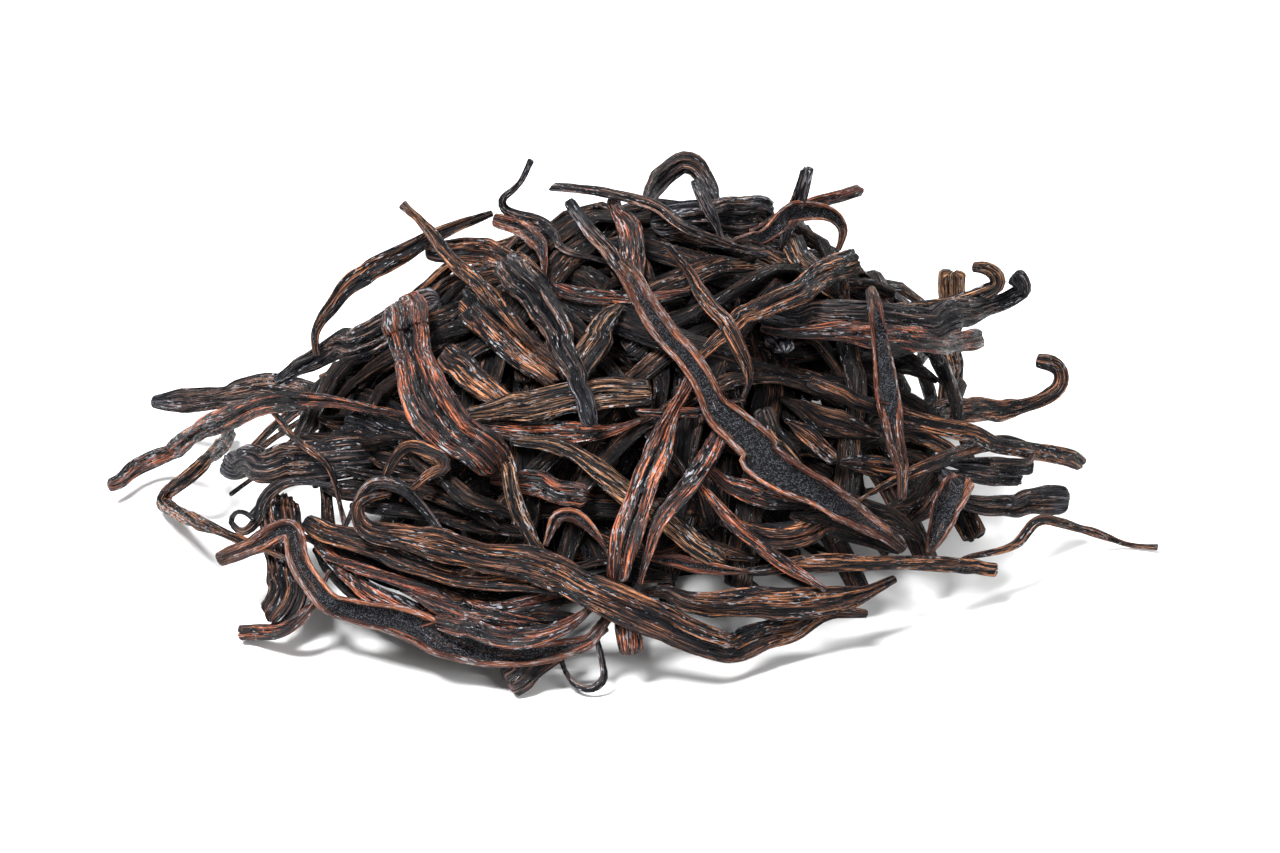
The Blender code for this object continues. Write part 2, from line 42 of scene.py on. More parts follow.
# The view. The heap is seen from a little above, by a long lens that stands well back, so that
# the pods keep their true proportions. The same lens gives each shown pod its line of sight.
PICTURE = (1280, 853)
VIEW_ELEVATION = math.radians(25)
VIEW_DISTANCE = 756 * MM
AIM = np.array((0.0, 0.0, 25 * MM))
LENS, SENSOR = 85.0, 36.0
AHEAD = np.array((0.0, math.cos(VIEW_ELEVATION), -math.sin(VIEW_ELEVATION)))
PICTURE_UP = np.array((0.0, math.sin(VIEW_ELEVATION), math.cos(VIEW_ELEVATION)))
EYE = AIM - AHEAD * VIEW_DISTANCE


def set_down(name, data):
    """A new object of the scene, made of a mesh, a lamp or a camera."""
    made = bpy.data.objects.new(name, data)
    bpy.context.scene.collection.objects.link(made)
    return made


camera = set_down("camera", bpy.data.cameras.new("camera"))
camera.data.lens, camera.data.sensor_width = LENS, SENSOR
camera.data.clip_start = 10 * MM
camera.location = EYE
camera.rotation_euler = (math.pi / 2 - VIEW_ELEVATION, 0, 0)
bpy.context.scene.camera = camera


SIGHT_REACH, SIGHT_POINTS = 180 * MM, 721


def sight_points(column, row):
    """Points along the line of sight through a point of the picture, nearest first."""
    focal = PICTURE[0] * LENS / SENSOR
    across = (column - PICTURE[0] / 2) / focal
    above = (PICTURE[1] / 2 - row) / focal
    ray = AHEAD + np.array((across, 0.0, 0.0)) + PICTURE_UP * above
    nearest, furthest = VIEW_DISTANCE - SIGHT_REACH, VIEW_DISTANCE + SIGHT_REACH
    return EYE + np.linspace(nearest, furthest, SIGHT_POINTS)[:, None] * ray


# How the heap lies. The pods are tipped out into a low mound, set back on its right, and lie over
# and under each other. Each shown pod has a name, a kind, its full width in mm, the shape of its
# two ends, and its route: the picture's column and row, and how many mm it lies above the mound.
MOUND_HALF_WIDTH, MOUND_HALF_DEPTH = 124 * MM, 90 * MM
MOUND_HEIGHT = 78 * MM
MOUND_FULLNESS = 1.7
MOUND_TURN = math.radians(14)
FURTHEST_BACK = 68 * MM

# Short pods that fill the places between the shown ones. They have no name.
FILLING_PODS = (
    ("dark", 7.5, "tail tail", (345, 470, 0), (400, 480, 1), (455, 500, 1), (500, 530, 0)),
    ("dark", 6.0, "tail tail", (400, 440, 1), (430, 470, 2), (470, 500, 2), (520, 520, 1)),
    ("dark", 6.5, "tail tail", (350, 505, -1), (400, 510, 0), (460, 520, 0), (530, 535, 0)),
    ("dark", 7.0, "tail tail", (300, 436, -1), (350, 443, 0), (410, 440, 0)),
    ("dark", 6.0, "tail tail", (322, 486, -1), (380, 492, -1), (440, 505, -1)),
    ("dark", 6.0, "tail tail", (365, 452, -1), (400, 462, -1), (445, 470, -1)),
    ("dark", 6.0, "tail tail", (318, 418, -1), (360, 424, -1), (410, 425, -1)),
    ("dark", 7.0, "tail tail", (780, 398, -2), (825, 420, -2), (880, 436, -2)),
    ("dark", 6.5, "tail tail", (850, 372, -3), (890, 400, -3), (940, 425, -3)),
    ("dark", 7.5, "tail tail", (885, 448, 0), (925, 468, 0), (950, 505, 0)),
    ("brown", 6.5, "tail tail", (900, 432, -1), (940, 450, -1), (975, 470, 0)),
    ("dark", 6.5, "tail tail", (905, 525, 0), (930, 500, 1), (946, 470, 1)),
    ("dark", 7.0, "tail tail", (888, 508, 1), (915, 490, 1), (936, 455, 1)),
    ("dark", 6.0, "tail tail", (345, 556, 1), (420, 588, 1), (500, 610, 1), (580, 618, 1)),
    ("dark", 6.0, "tail tail", (430, 584, 0), (500, 600, 0), (570, 598, 0), (650, 600, 0)),
    ("red", 4.5, "tail tail", (400, 588, 2), (450, 610, 3), (500, 622, 2), (570, 630, 2)),
    ("dark", 5.5, "tail tail", (325, 544, 0), (380, 556, 0), (440, 562, 0), (500, 570, 0)),
    ("red", 5.0, "tail tail", (455, 596, 1), (500, 612, 2), (540, 604, 1), (600, 590, 0)),
    ("dark", 7.0, "tail tail", (300, 535, 0), (345, 552, 1), (400, 574, 1), (455, 594, 0)),
    ("red", 4.0, "tail tail", (330, 562, 1), (380, 592, 2), (440, 622, 3), (495, 640, 2)),
    ("red", 5.0, "tail tail", (308, 530, 1), (332, 558, 1), (366, 592, 1), (425, 618, 1)),
    ("dark", 6.5, "tail tail", (314, 548, -1), (338, 578, -1), (375, 604, -1), (430, 610, -1)),
    ("dark", 7.0, "tail tail", (545, 580, 0), (610, 568, 0), (672, 578, 0)),
    ("brown", 6.0, "tail tail", (600, 540, -1), (650, 560, -1), (700, 548, -1), (760, 560, -1)),
    ("dark", 7.0, "tail tail", (835, 490, 0), (880, 512, 0), (922, 540, 0)),
    ("dark", 6.5, "cut tail", (974, 538, 1), (962, 505, 2), (940, 468, 1)),
    ("brown", 6.0, "tail tail", (840, 462, 0), (890, 470, 0), (940, 488, 0)),
    ("dark", 6.0, "tail tail", (790, 515, 0), (845, 530, 0), (900, 552, 1)),
)

SHOWN_PODS = (
    ("red_left", "red", 6.0, "blunt tail",
     (108, 486, 6), (160, 455, 8), (215, 428, 10), (265, 402, 10), (330, 398, 7), (408, 416, 4)),
    ("back_left_thick", "dark", 9.5, "tail blunt",
     (275, 382, 1), (330, 352, 1), (385, 325, 0), (440, 300, -2)),
    ("arc_left", "brown", 5.6, "tail tail",
     (317, 356, 3), (319, 328, 5), (345, 290, 6), (390, 262, 5), (440, 236, 3), (493, 213, 3)),
    ("bent_left", "brown", 4.6, "blunt tail",
     (232, 432, 3), (200, 470, 3), (164, 502, 3), (200, 522, 3), (245, 543, 3), (290, 560, 3)),
    ("blunt_left", "dark", 10.5, "blunt cut",
     (228, 460, 4), (290, 464, 4), (345, 462, 0), (400, 455, -3)),
    ("ring_left", "dark", 2.8, "tail tail",
     (340, 486, 1), (290, 482, 4), (265, 498, 5), (256, 522, 5), (240, 531, 5), (231, 520, 7),
     (242, 511, 8), (254, 520, 7)),
    ("split_front_left", "split", 8.8, "narrow tail",
     (217, 560, 3), (250, 543, 6), (286, 526, 9), (308, 572, 7), (342, 610, 5), (400, 624, 5),
     (455, 643, 5), (520, 652, 5), (575, 640, 5), (612, 612, 4)),
    ("stump_left", "brown", 11.0, "cut cut",
     (282, 500, -2), (284, 550, -2), (287, 600, 2), (272, 622, 3)),
    ("foot_left", "red", 4.0, "cut tail",
     (240, 633, 2), (280, 628, 2), (310, 602, 2), (330, 570, 2)),
    ("stick_left", "brown", 2.6, "tail tail",
     (268, 405, 6), (300, 443, 6), (330, 468, 4), (345, 525, 2)),
    ("second_front", "brown", 6.0, "blunt tail",
     (304, 521, 4), (375, 548, 4), (450, 578, 4), (520, 584, 3), (590, 594, 2), (640, 602, 0)),
    ("long_front", "brown", 9.5, "tail tail",
     (392, 492, 4), (368, 500, 6), (366, 520, 7), (385, 536, 7), (450, 548, 8), (530, 562, 9),
     (590, 585, 10), (650, 612, 11), (700, 634, 9), (735, 645, 5), (780, 630, 3), (868, 613, 3)),
    ("vee_stick", "dark", 3.6, "tail tail",
     (342, 532, 3), (366, 488, 6), (402, 487, 6), (428, 512, 4), (450, 545, 2)),
    ("big_red", "red", 13.5, "bulb blunt",
     (398, 302, 6), (410, 345, 8), (426, 395, 8), (458, 432, 6), (497, 470, 3)),
    ("strap_top_left", "brown", 5.0, "stem tail",
     (402, 204, 16), (440, 248, 15), (480, 292, 11), (510, 320, 8), (528, 342, 5)),
    ("strap_middle", "dark", 8.2, "blunt narrow",
     (505, 262, 2), (538, 300, 6), (562, 352, 8), (580, 395, 9), (591, 426, 9)),
    ("thin_top_curl", "dark", 3.2, "stem tail",
     (531, 159, 7), (518, 184, 5), (500, 202, 4), (512, 215, 4), (545, 226, 4), (566, 250, 3),
     (610, 262, 0)),
    ("split_top_left", "split", 4.4, "blunt tail",
     (493, 219, 4), (520, 228, 6), (541, 250, 5), (544, 276, 3)),
    ("left_middle_2", "brown", 7.0, "blunt tail",
     (445, 350, 0), (470, 375, 2), (500, 400, 2), (540, 425, 0)),
    ("loop_middle", "brown", 3.8, "tail tail",
     (380, 495, 1), (392, 465, 4), (412, 448, 5), (448, 466, 5), (425, 480, 4), (400, 500, 2)),
    ("tan_bed", "tan", 8.5, "stem cut",
     (445, 420, 4), (500, 412, 4), (570, 402, 4), (650, 392, 4)),
    ("thin_bar", "red", 3.2, "cut tail",
     (638, 412, 5), (690, 413, 6), (745, 400, 4)),
    ("ladder_bar", "red", 4.6, "cut tail",
     (545, 286, 1), (600, 296, 3), (650, 298, 1), (690, 292, 1)),
    ("orange_middle", "tan", 8.0, "cut tail",
     (570, 382, 1), (595, 345, 3), (622, 305, 2)),
    ("grey_stub_top", "dark", 3.8, "blunt tail",
     (569, 200, 12), (588, 230, 9), (618, 262, 6), (650, 300, 2)),
    ("top_crossing", "dark", 3.8, "cut tail",
     (552, 187, 12), (600, 190, 12), (655, 205, 9), (690, 232, 7), (735, 246, 6), (768, 256, 4)),
    ("upright_red", "red", 7.0, "stem tail",
     (612, 198, 9), (628, 235, 7), (634, 265, 5), (642, 295, 3)),
    ("top_log", "dark", 10.5, "blunt cut",
     (650, 222, 3), (700, 214, 5), (770, 218, 3)),
    ("top_knot", "dark", 6.4, "tail tail",
     (640, 210, 6), (662, 178, 10), (685, 163, 12), (704, 182, 10), (720, 210, 6)),
    ("knot_stick", "dark", 3.6, "blunt tail",
     (697, 180, 12), (710, 208, 10), (722, 240, 6)),
    ("grey_stub_right", "dark", 4.0, "cut tail",
     (806, 168, 10), (799, 192, 7), (790, 218, 4), (782, 250, 1)),
    ("stick_right_top", "red", 3.8, "cut tail",
     (862, 190, 6), (830, 198, 5), (790, 212, 4), (750, 232, 2)),
    ("arch_split", "split", 6.0, "tail tail",
     (735, 240, 4), (775, 230, 5), (792, 212, 7), (830, 213, 8), (845, 228, 7), (838, 250, 4)),
    ("tan_stub", "tan", 6.5, "cut tail",
     (792, 240, 4), (812, 265, 3), (840, 300, 0)),
    ("long_diagonal", "brown", 7.0, "cut tail",
     (856, 262, 7), (815, 277, 8), (770, 303, 9), (730, 335, 9), (690, 365, 6)),
    ("orange_strap", "brown", 4.8, "stem tail",
     (668, 249, 8), (700, 288, 12), (730, 332, 14), (750, 372, 11), (744, 398, 7)),
    ("long_split", "split", 11.0, "neck tail",
     (618, 262, 6), (645, 312, 8), (690, 368, 10), (735, 420, 11), (785, 472, 11), (840, 508, 9),
     (905, 550, 5)),
    ("upright_split", "split", 6.8, "narrow tail",
     (870, 288, 7), (881, 340, 9), (890, 395, 9), (896, 445, 9), (902, 500, 6)),
    ("dark_hook_right", "dark", 8.5, "stem cut",
     (1013, 275, 9), (1019, 294, 9), (985, 312, 9), (930, 320, 7), (850, 320, 5), (760, 312, 1)),
    ("dark_right_lower", "red", 7.5, "blunt tail",
     (982, 336, 6), (930, 338, 5), (850, 336, 4), (760, 328, 1)),
    ("tan_curl_right", "tan", 3.8, "blunt tail",
     (972, 267, 6), (990, 270, 6), (996, 285, 6), (965, 299, 5), (915, 308, 3), (860, 312, 0)),
    ("long_right", "brown", 5.0, "blunt cut",
     (1082, 466, 6), (1060, 455, 7), (980, 436, 8), (920, 420, 8), (860, 400, 6), (810, 382, 2)),
    ("curled_right", "brown", 3.8, "stem tail",
     (990, 462, 6), (1024, 462, 7), (1028, 447, 7), (1000, 441, 7), (950, 455, 6), (900, 478, 5),
     (855, 502, 3)),
    ("flat_right", "dark", 4.6, "blunt tail",
     (1033, 468, 4), (990, 464, 4), (940, 462, 2)),
    ("flat_right_low", "dark", 4.2, "cut tail",
     (1020, 480, 2), (975, 477, 3), (930, 470, 1)),
    ("club_right", "dark", 8.4, "blunt narrow",
     (1068, 500, 4), (1035, 505, 3), (975, 498, 4), (940, 470, 5)),
    ("thin_far_right", "brown", 3.2, "tail tail",
     (1158, 547, 2), (1130, 543, 2), (1085, 528, 4), (1040, 521, 5), (1015, 545, 3),
     (965, 558, 2), (930, 568, 2)),
    ("vee_split_right", "split", 8.5, "tail cut",
     (928, 555, 2), (943, 512, 5), (962, 478, 5)),
    ("low_right", "brown", 4.8, "cut tail",
     (996, 570, 2), (940, 562, 3), (860, 562, 4), (790, 566, 4), (720, 572, 2)),
    ("front_right_wide", "brown", 8.2, "tail tail",
     (896, 578, 2), (850, 594, 3), (780, 602, 4), (700, 600, 4), (640, 592, 2)),
    ("purple_strap", "red", 4.6, "tail tail",
     (694, 478, 5), (725, 518, 8), (765, 548, 9), (800, 572, 8), (826, 590, 6)),
    ("tall_front_1", "red", 7.2, "stem blunt",
     (692, 378, 5), (668, 432, 8), (645, 490, 11), (626, 545, 13), (618, 582, 9)),
    ("tall_front_2", "red", 4.6, "blunt tail",
     (722, 430, 5), (692, 478, 9), (662, 520, 11), (648, 555, 10), (640, 585, 7)),
    ("olive_diagonal", "tan", 6.5, "tail blunt",
     (510, 440, 2), (560, 448, 3), (610, 480, 4), (660, 512, 4), (725, 560, 3)),
    ("olive_stick", "tan", 4.0, "cut tail",
     (504, 455, 3), (515, 500, 6), (537, 545, 7), (558, 572, 5)),
    ("tan_plank", "tan", 6.2, "cut tail",
     (763, 410, 4), (778, 438, 3), (802, 465, 1)),
    ("stub_front", "brown", 7.0, "cut tail",
     (508, 682, 3), (535, 665, 3), (575, 640, 3)),
    ("hook_front", "dark", 2.7, "tail tail",
     (560, 655, 2), (568, 678, 2), (588, 688, 2), (604, 678, 2), (602, 655, 2), (592, 630, 2)),
    ("foot_front", "red", 5.8, "blunt tail",
     (632, 655, 3), (626, 625, 4), (620, 590, 4)),
    ("red_rope", "red", 5.4, "tail tail",
     (395, 632, 3), (450, 622, 6), (505, 640, 7), (560, 630, 6), (600, 600, 4)),
    ("red_rope_low", "red", 5.0, "tail tail",
     (455, 650, 3), (510, 660, 3), (570, 652, 3), (608, 628, 3)),
    ("red_strand", "red", 3.5, "tail tail",
     (325, 556, 2), (370, 570, 3), (420, 585, 2), (450, 600, 2), (470, 628, 2)),
    ("under_top_left", "brown", 8.0, "blunt tail",
     (425, 252, 1), (480, 252, 3), (530, 275, 3), (560, 300, 1)),
    ("wide_middle", "brown", 11.0, "cut cut",
     (470, 290, -2), (515, 335, 1), (560, 378, 0)),
    ("left_middle_1", "dark", 9.5, "cut tail",
     (345, 425, 0), (400, 438, -1), (455, 470, -3)),
    ("red_under_bed", "red", 5.5, "tail tail",
     (470, 428, 0), (540, 430, 1), (610, 428, 1), (640, 420, 0)),
    ("glossy_dark", "red", 7.5, "tail blunt",
     (490, 480, -4), (540, 488, -2), (588, 497, -2)),
    ("small_vee", "split", 3.4, "tail tail",
     (545, 546, 1), (560, 516, 2), (582, 520, 2), (606, 548, 1)),
    ("red_split_low", "split", 3.8, "tail tail",
     (640, 556, 2), (690, 564, 3), (748, 572, 3)),
    ("glossy_ridged", "red", 7.5, "tail tail",
     (700, 462, 1), (755, 492, 1), (820, 505, 0)),
    ("low_middle_right", "brown", 8.0, "tail tail",
     (720, 520, -1), (790, 535, 0), (850, 515, 0)),
    *(("filling", *pod) for pod in FILLING_PODS),
    ("end_on_stub", "dark", 7.0, "blunt tail",
     (785, 352, 2), (775, 340, -2), (755, 330, -6)),
    ("brown_plank", "brown", 4.8, "tail cut",
     (785, 420, 1), (812, 440, 2), (836, 460, 2)),
)

# Pods that stand clear of the mound: each point has its depth in mm behind the middle instead.
STANDING_PODS = (
    ("stump_right", "tan", 8.2, "cut cut",
     (953, 272, 56), (952, 340, 58), (949, 410, 60)),
    ("crescent_right", "brown", 7.8, "narrow blunt",
     (1036, 360, 30), (1056, 368, 30), (1060, 388, 30), (1020, 408, 27), (955, 410, 20),
     (890, 425, 5)),
    ("back_left", "dark", 9.3, "nose blunt",
     (151, 402, 40), (205, 400, 34), (265, 392, 26), (330, 400, 12)),
)

# The pods of the far side and the flanks follow the solid's own rule, and more like them, which lie
# closer in, fill the gaps there. Inside the heap more pods lie in layers, down to the table.
BACK_KINDS = ("dark", "brown", "red", "dark", "tan", "brown", "split")
BACK_ENDS = ("blunt tail", "stem tail", "cut tail", "stem blunt")
BACK_LENGTHS, BACK_WIDTHS = (62 * MM, 118 * MM), (4.4, 9.0)
BACK_ARC, BACK_RINGS = (-25.0, 200.0), (0.3, 0.85)
FURTHEST_RING, FURTHEST_RIGHT = 1.05, 78 * MM
NEAREST_BACK_POD, FLANK_SLANT = 12 * MM, 0.3
SHELTER_ROOM, SHELTER_REACH, SHELTER_STEPS = 1.0 * MM, 160 * MM, 81
FAR_PODS = ((11, 24, (-3, 3)), (23, 40, (-7, 0)))
ROUTE_POINTS = 5
GOLDEN_SHARE = 0.618
# The layers inside: mm above the mound's surface, how many pods, and how far out they reach.
BURIED_KINDS = ("dark", "brown", "dark", "brown", "red", "tan")
BURIED_LAYERS = ((-5.0, 64, 0.84), (-11.0, 50, 0.84), (-18.0, 38, 0.82), (-34.0, 28, 0.66),
                 (-60.0, 36, 0.68))
BURIED_RIGHT = 86 * MM


def mound_ring(x, y):
    """How far out a point of the table is: 0 at the mound's middle, and 1 at its foot."""
    along = x * math.cos(MOUND_TURN) + y * math.sin(MOUND_TURN)
    across = y * math.cos(MOUND_TURN) - x * math.sin(MOUND_TURN)
    return np.hypot(along / MOUND_HALF_WIDTH, across / MOUND_HALF_DEPTH)


def mound_height(x, y):
    """Height of the mound's surface over a point of the table."""
    return MOUND_HEIGHT * (1 - np.minimum(mound_ring(x, y), 1.0) ** MOUND_FULLNESS)


def unit(vectors):
    """Each vector at length one."""
    return vectors / np.maximum(np.linalg.norm(vectors, axis=-1, keepdims=True), 1e-9)


def mound_outwards(points):
    """The mound's outward direction at each point."""
    x, y, step = points[:, 0], points[:, 1], 2 * MM
    rise_x = (mound_height(x + step, y) - mound_height(x - step, y)) / (2 * step)
    rise_y = (mound_height(x, y + step) - mound_height(x, y - step)) / (2 * step)
    return unit(np.stack([-rise_x, -rise_y, np.full(len(x), 0.9)], axis=1))


def laid(column, row, lift):
    """Where a line of sight meets the mound, raised by a lift, or passes closest over it."""
    points = sight_points(column, row)
    points = points[points[:, 1] <= FURTHEST_BACK]
    over = points[:, 2] - mound_height(points[:, 0], points[:, 1]) - lift * MM
    under = np.nonzero(over <= 0)[0]
    return (*points[under[0] if len(under) else np.argmin(over)], lift)


def standing(column, row, depth):
    """Where a line of sight passes the depth at which a pod stands, and a middling lift."""
    points = sight_points(column, row)
    return (*points[np.argmin(np.abs(points[:, 1] - depth * MM))], 3.0)


def scattered(rng, share, arc, rings, lifts, kinds):
    """One pod that lies anyhow on a stretch of the mound: (kind, width, ends, route)."""
    angle = math.radians(arc[0] + share * (arc[1] - arc[0]))
    ring = rng.uniform(*rings)
    middle = ring * np.array((MOUND_HALF_WIDTH * math.cos(angle), MOUND_HALF_DEPTH * math.sin(angle)))
    heading = rng.uniform(0, math.pi)
    length = rng.uniform(*BACK_LENGTHS)
    bend = rng.uniform(-0.2, 0.2) * length
    lift = rng.uniform(*lifts)
    along = np.array((math.cos(heading), math.sin(heading)))
    aside = np.array((-along[1], along[0]))
    width = rng.uniform(*BACK_WIDTHS)
    kind = kinds[rng.randint(len(kinds))]
    ends = BACK_ENDS[rng.randint(len(BACK_ENDS))]
    shares = np.linspace(-0.5, 0.5, ROUTE_POINTS)
    plan = middle + shares[:, None] * length * along + (shares ** 2)[:, None] * 4 * bend * aside
    heights = np.maximum(mound_height(plan[:, 0], plan[:, 1]) + lift * MM, width * MM / 3)
    return kind, width, ends, np.column_stack([plan, heights, np.full(ROUTE_POINTS, lift)])


def shelter(route, width):
    """How far below the mound's surface the line of sight to each point of a pod's upper side passes."""
    upper = route[:, :3] + (0, 0, 0.35 * width)
    passed = upper - np.linspace(0, SHELTER_REACH, SHELTER_STEPS)[:, None, None] * AHEAD
    return (mound_height(passed[..., 0], passed[..., 1]) - passed[..., 2]).max(axis=0)


def far_side(seed, count, lifts):
    """The pods of the far side, which stay sheltered behind those that the picture shows."""
    rng = np.random.RandomState(seed)
    found, tries = [], 0
    while len(found) < count:
        tries += 1
        pod = scattered(rng, (tries * GOLDEN_SHARE) % 1, BACK_ARC, BACK_RINGS, lifts, BACK_KINDS)
        x, y = pod[3][:, 0], pod[3][:, 1]
        at_back = (y + FLANK_SLANT * np.abs(x)).min() >= NEAREST_BACK_POD
        on_mound = mound_ring(x, y).max() <= FURTHEST_RING and x.max() <= FURTHEST_RIGHT
        if at_back and on_mound and shelter(pod[3], pod[1] * MM).min() >= SHELTER_ROOM:
            found.append(pod)
    return found


def inside():
    """The pods inside the heap, in layers, which show only in the gaps between the others."""
    rng = np.random.RandomState(5)
    found, tries = [], 0
    for lift, count, furthest in BURIED_LAYERS:
        wanted = len(found) + count
        while len(found) < wanted:
            tries += 1
            share = (tries * GOLDEN_SHARE) % 1
            pod = scattered(rng, share, (0, 360), (0.05, 0.7), (lift - 2, lift + 2), BURIED_KINDS)
            x, y = pod[3][:, 0], pod[3][:, 1]
            if mound_ring(x, y).max() <= furthest and x.max() <= BURIED_RIGHT:
                found.append(pod)
    return found


def smooth_route(points, per_span=12):
    """A smooth curve through a route's own points."""
    points = np.asarray(points, float)
    padded = np.vstack([2 * points[0] - points[1], points, 2 * points[-1] - points[-2]])
    t = np.linspace(0, 1, per_span, endpoint=False)[:, None]
    spans = []
    for a, b, c, d in zip(padded, padded[1:], padded[2:], padded[3:]):
        spans.append(0.5 * (2 * b + (c - a) * t + (2 * a - 5 * b + 4 * c - d) * t ** 2
                            + (3 * b - a - 3 * c + d) * t ** 3))
    return np.vstack(spans + [points[-1:]])


def travelled(line):
    """Distance along a line of points to each of them."""
    return np.concatenate([[0], np.cumsum(np.linalg.norm(np.diff(line[:, :3], axis=0), axis=1))])


def read_along(line, at, distances):
    """A line's columns, read off at given distances along it."""
    return np.stack([np.interp(distances, at, column) for column in line.T], axis=1)


# How wide a pod is near its ends: (share of the length from the end, share of the full width).
END_SHAPES = {
    "stem": ((0.0, 0.6), (0.03, 0.5), (0.12, 0.46), (0.22, 0.6), (0.38, 1.0)),
    "tail": ((0.0, 0.26), (0.08, 0.42), (0.2, 0.72), (0.38, 1.0)),
    "blunt": ((0.0, 0.74), (0.05, 0.9), (0.2, 1.0)),
    "cut": ((0.0, 0.9), (0.08, 0.94), (0.2, 1.0)),
    "bulb": ((0.0, 0.62), (0.04, 0.86), (0.12, 1.0), (0.24, 0.98), (0.4, 0.72), (0.55, 0.8),
             (0.9, 0.86)),
    "narrow": ((0.0, 0.42), (0.04, 0.55), (0.25, 0.66), (0.6, 1.0)),
    "nose": ((0.0, 0.4), (0.06, 0.62), (0.16, 0.96), (0.3, 0.84), (0.5, 1.0)),
    "neck": ((0.0, 0.3), (0.06, 0.45), (0.15, 0.58), (0.44, 0.62), (0.6, 1.0)),
}
FLATNESS = {"dark": 0.46, "brown": 0.42, "red": 0.44, "tan": 0.36, "split": 0.36}
NODE_SPACING = 3 * MM
SETTLING_ROUNDS, SETTLING_STEPS, SETTLING_PACE = 4, 9, 0.7
CLOSE_BY, LIFT_WEIGHT, CLEARANCE = 16 * MM, 0.6 * MM, 0.3 * MM
GIVES = {"shown": 0.4, "deep": 0.4, "far": 1.0, "buried": 1.0}


def end_width(shares, ends):
    """Share of the full width at each share of the length."""
    first, last = ends.split()
    return np.minimum(np.interp(shares, *zip(*END_SHAPES[first])),
                      np.interp(1 - shares, *zip(*END_SHAPES[last])))


def tipped_out():
    """Every pod of the heap as it was laid, before the pods settle clear of each other."""
    drawn = [(name, kind, width, ends, [laid(*point) for point in seen],
              "deep" if name == "filling" and kind == "dark" else "shown")
             for name, kind, width, ends, *seen in SHOWN_PODS]
    drawn += [(name, kind, width, ends, [standing(*point) for point in seen], "shown")
              for name, kind, width, ends, *seen in STANDING_PODS]
    drawn += [("far", *pod, "far") for rule in FAR_PODS for pod in far_side(*rule)]
    drawn += [("buried", *pod, "buried") for pod in inside()]
    pods = []
    for number, (name, kind, width, ends, route, place) in enumerate(drawn):
        curve = smooth_route(route)
        at = travelled(curve)
        nodes = read_along(curve, at, np.linspace(0, at[-1], max(4, int(at[-1] / NODE_SPACING))))
        half = end_width(np.linspace(0, 1, len(nodes)), ends) * width * MM / 2
        out = unit(EYE - nodes[:, :3]) if place in ("shown", "deep") else mound_outwards(nodes)
        pods.append({"name": name, "kind": kind, "width": width * MM, "ends": ends, "place": place,
                     "number": number, "nodes": nodes, "half": half, "out": out})
    return pods


def close_pairs(points, owner, reach):
    """Pairs of points of different pods that lie within reach of each other."""
    first, second = [], []
    for start in range(0, len(points), 400):
        near = ((points[start:start + 400, None] - points[None]) ** 2).sum(axis=2) < reach ** 2
        i, j = np.nonzero(near & (owner[start:start + 400, None] < owner[None]))
        first.append(i + start)
        second.append(j)
    return np.concatenate(first), np.concatenate(second)


def settle(pods):
    """Moves pods that pass through each other apart: the one with more lift out, the other in.

    A shown pod moves along its line of sight and so keeps its place in the picture."""
    owner = np.concatenate([np.full(len(pod["nodes"]), pod["number"]) for pod in pods])
    points, lift, half, out, thick, gives = (np.concatenate(column) for column in zip(*(
        (pod["nodes"][:, :3], pod["nodes"][:, 3], pod["half"], pod["out"],
         pod["half"] * (FLATNESS[pod["kind"]] + 0.08),
         np.full(len(pod["nodes"]), GIVES[pod["place"]])) for pod in pods)))
    index = np.arange(len(owner))
    before = np.where(np.roll(owner, 1) == owner, np.roll(index, 1), index)
    after = np.where(np.roll(owner, -1) == owner, np.roll(index, -1), index)
    for _ in range(SETTLING_ROUNDS):
        i, j = close_pairs(points.astype(np.float32), owner, CLOSE_BY)
        way = unit(out[i] + out[j])
        rise = ((points[i] - points[j]) * way).sum(axis=1)
        above = np.where(rise + LIFT_WEIGHT * (lift[i] - lift[j]) > 0, 1.0, -1.0)
        share = gives[i] / (gives[i] + gives[j])
        for _ in range(SETTLING_STEPS):
            apart = points[i] - points[j]
            rise = (apart * way).sum(axis=1)
            aside = np.linalg.norm(apart - rise[:, None] * way, axis=1)
            room = (thick[i] + thick[j]) * np.sqrt(np.clip(1 - (aside / (half[i] + half[j])) ** 2, 0, 1))
            lack = np.where(room > 0, np.maximum(0, room - above * rise), 0)
            out_by, in_by = np.zeros(len(owner)), np.zeros(len(owner))
            for who, part, sign in ((i, share, above), (j, 1 - share, -above)):
                np.maximum.at(out_by, who, np.where(sign > 0, lack * part, 0))
                np.maximum.at(in_by, who, np.where(sign < 0, lack * part, 0))
            move = out_by - in_by
            for _ in range(3):
                move = 0.5 * move + 0.25 * (move[before] + move[after])
            points = points + SETTLING_PACE * move[:, None] * out
            points[:, 2] = np.maximum(points[:, 2], thick + CLEARANCE)
    start = 0
    for pod in pods:
        count = len(pod["nodes"])
        pod["nodes"] = points[start:start + count]
        start += count
    return pods


heap = settle(tipped_out())

# The form of a pod. A cured vanilla pod is a soft flattened tube of leathery skin that has dried
# and shrunk: long furrows and ridges run down it, fork and fade, it swells and narrows, and twists.
# It is lofted here as a grid of points, rings along it and sides around it.
RIDGE_HEIGHT = {"dark": 0.6 * MM, "brown": 0.65 * MM, "red": 0.55 * MM, "tan": 0.55 * MM,
                "split": 0.45 * MM}
FOLD_DEPTH = {"dark": 0.36, "brown": 0.36, "red": 0.4, "tan": 0.3, "split": 0.24}
TWIST = {"dark": 0.6, "brown": 0.65, "red": 0.55, "tan": 0.55, "split": 0.16}
GROOVED_SHARE = 0.45
WIDE_POD = 7.9 * MM
FACET_DEPTH = 0.5
KINK_SPACING, KINK_SIZE = 21 * MM, 0.17
SHRUNK_TO = 0.91
THINNEST = 0.55 * MM
RIDGE_SPACING = 0.8 * MM
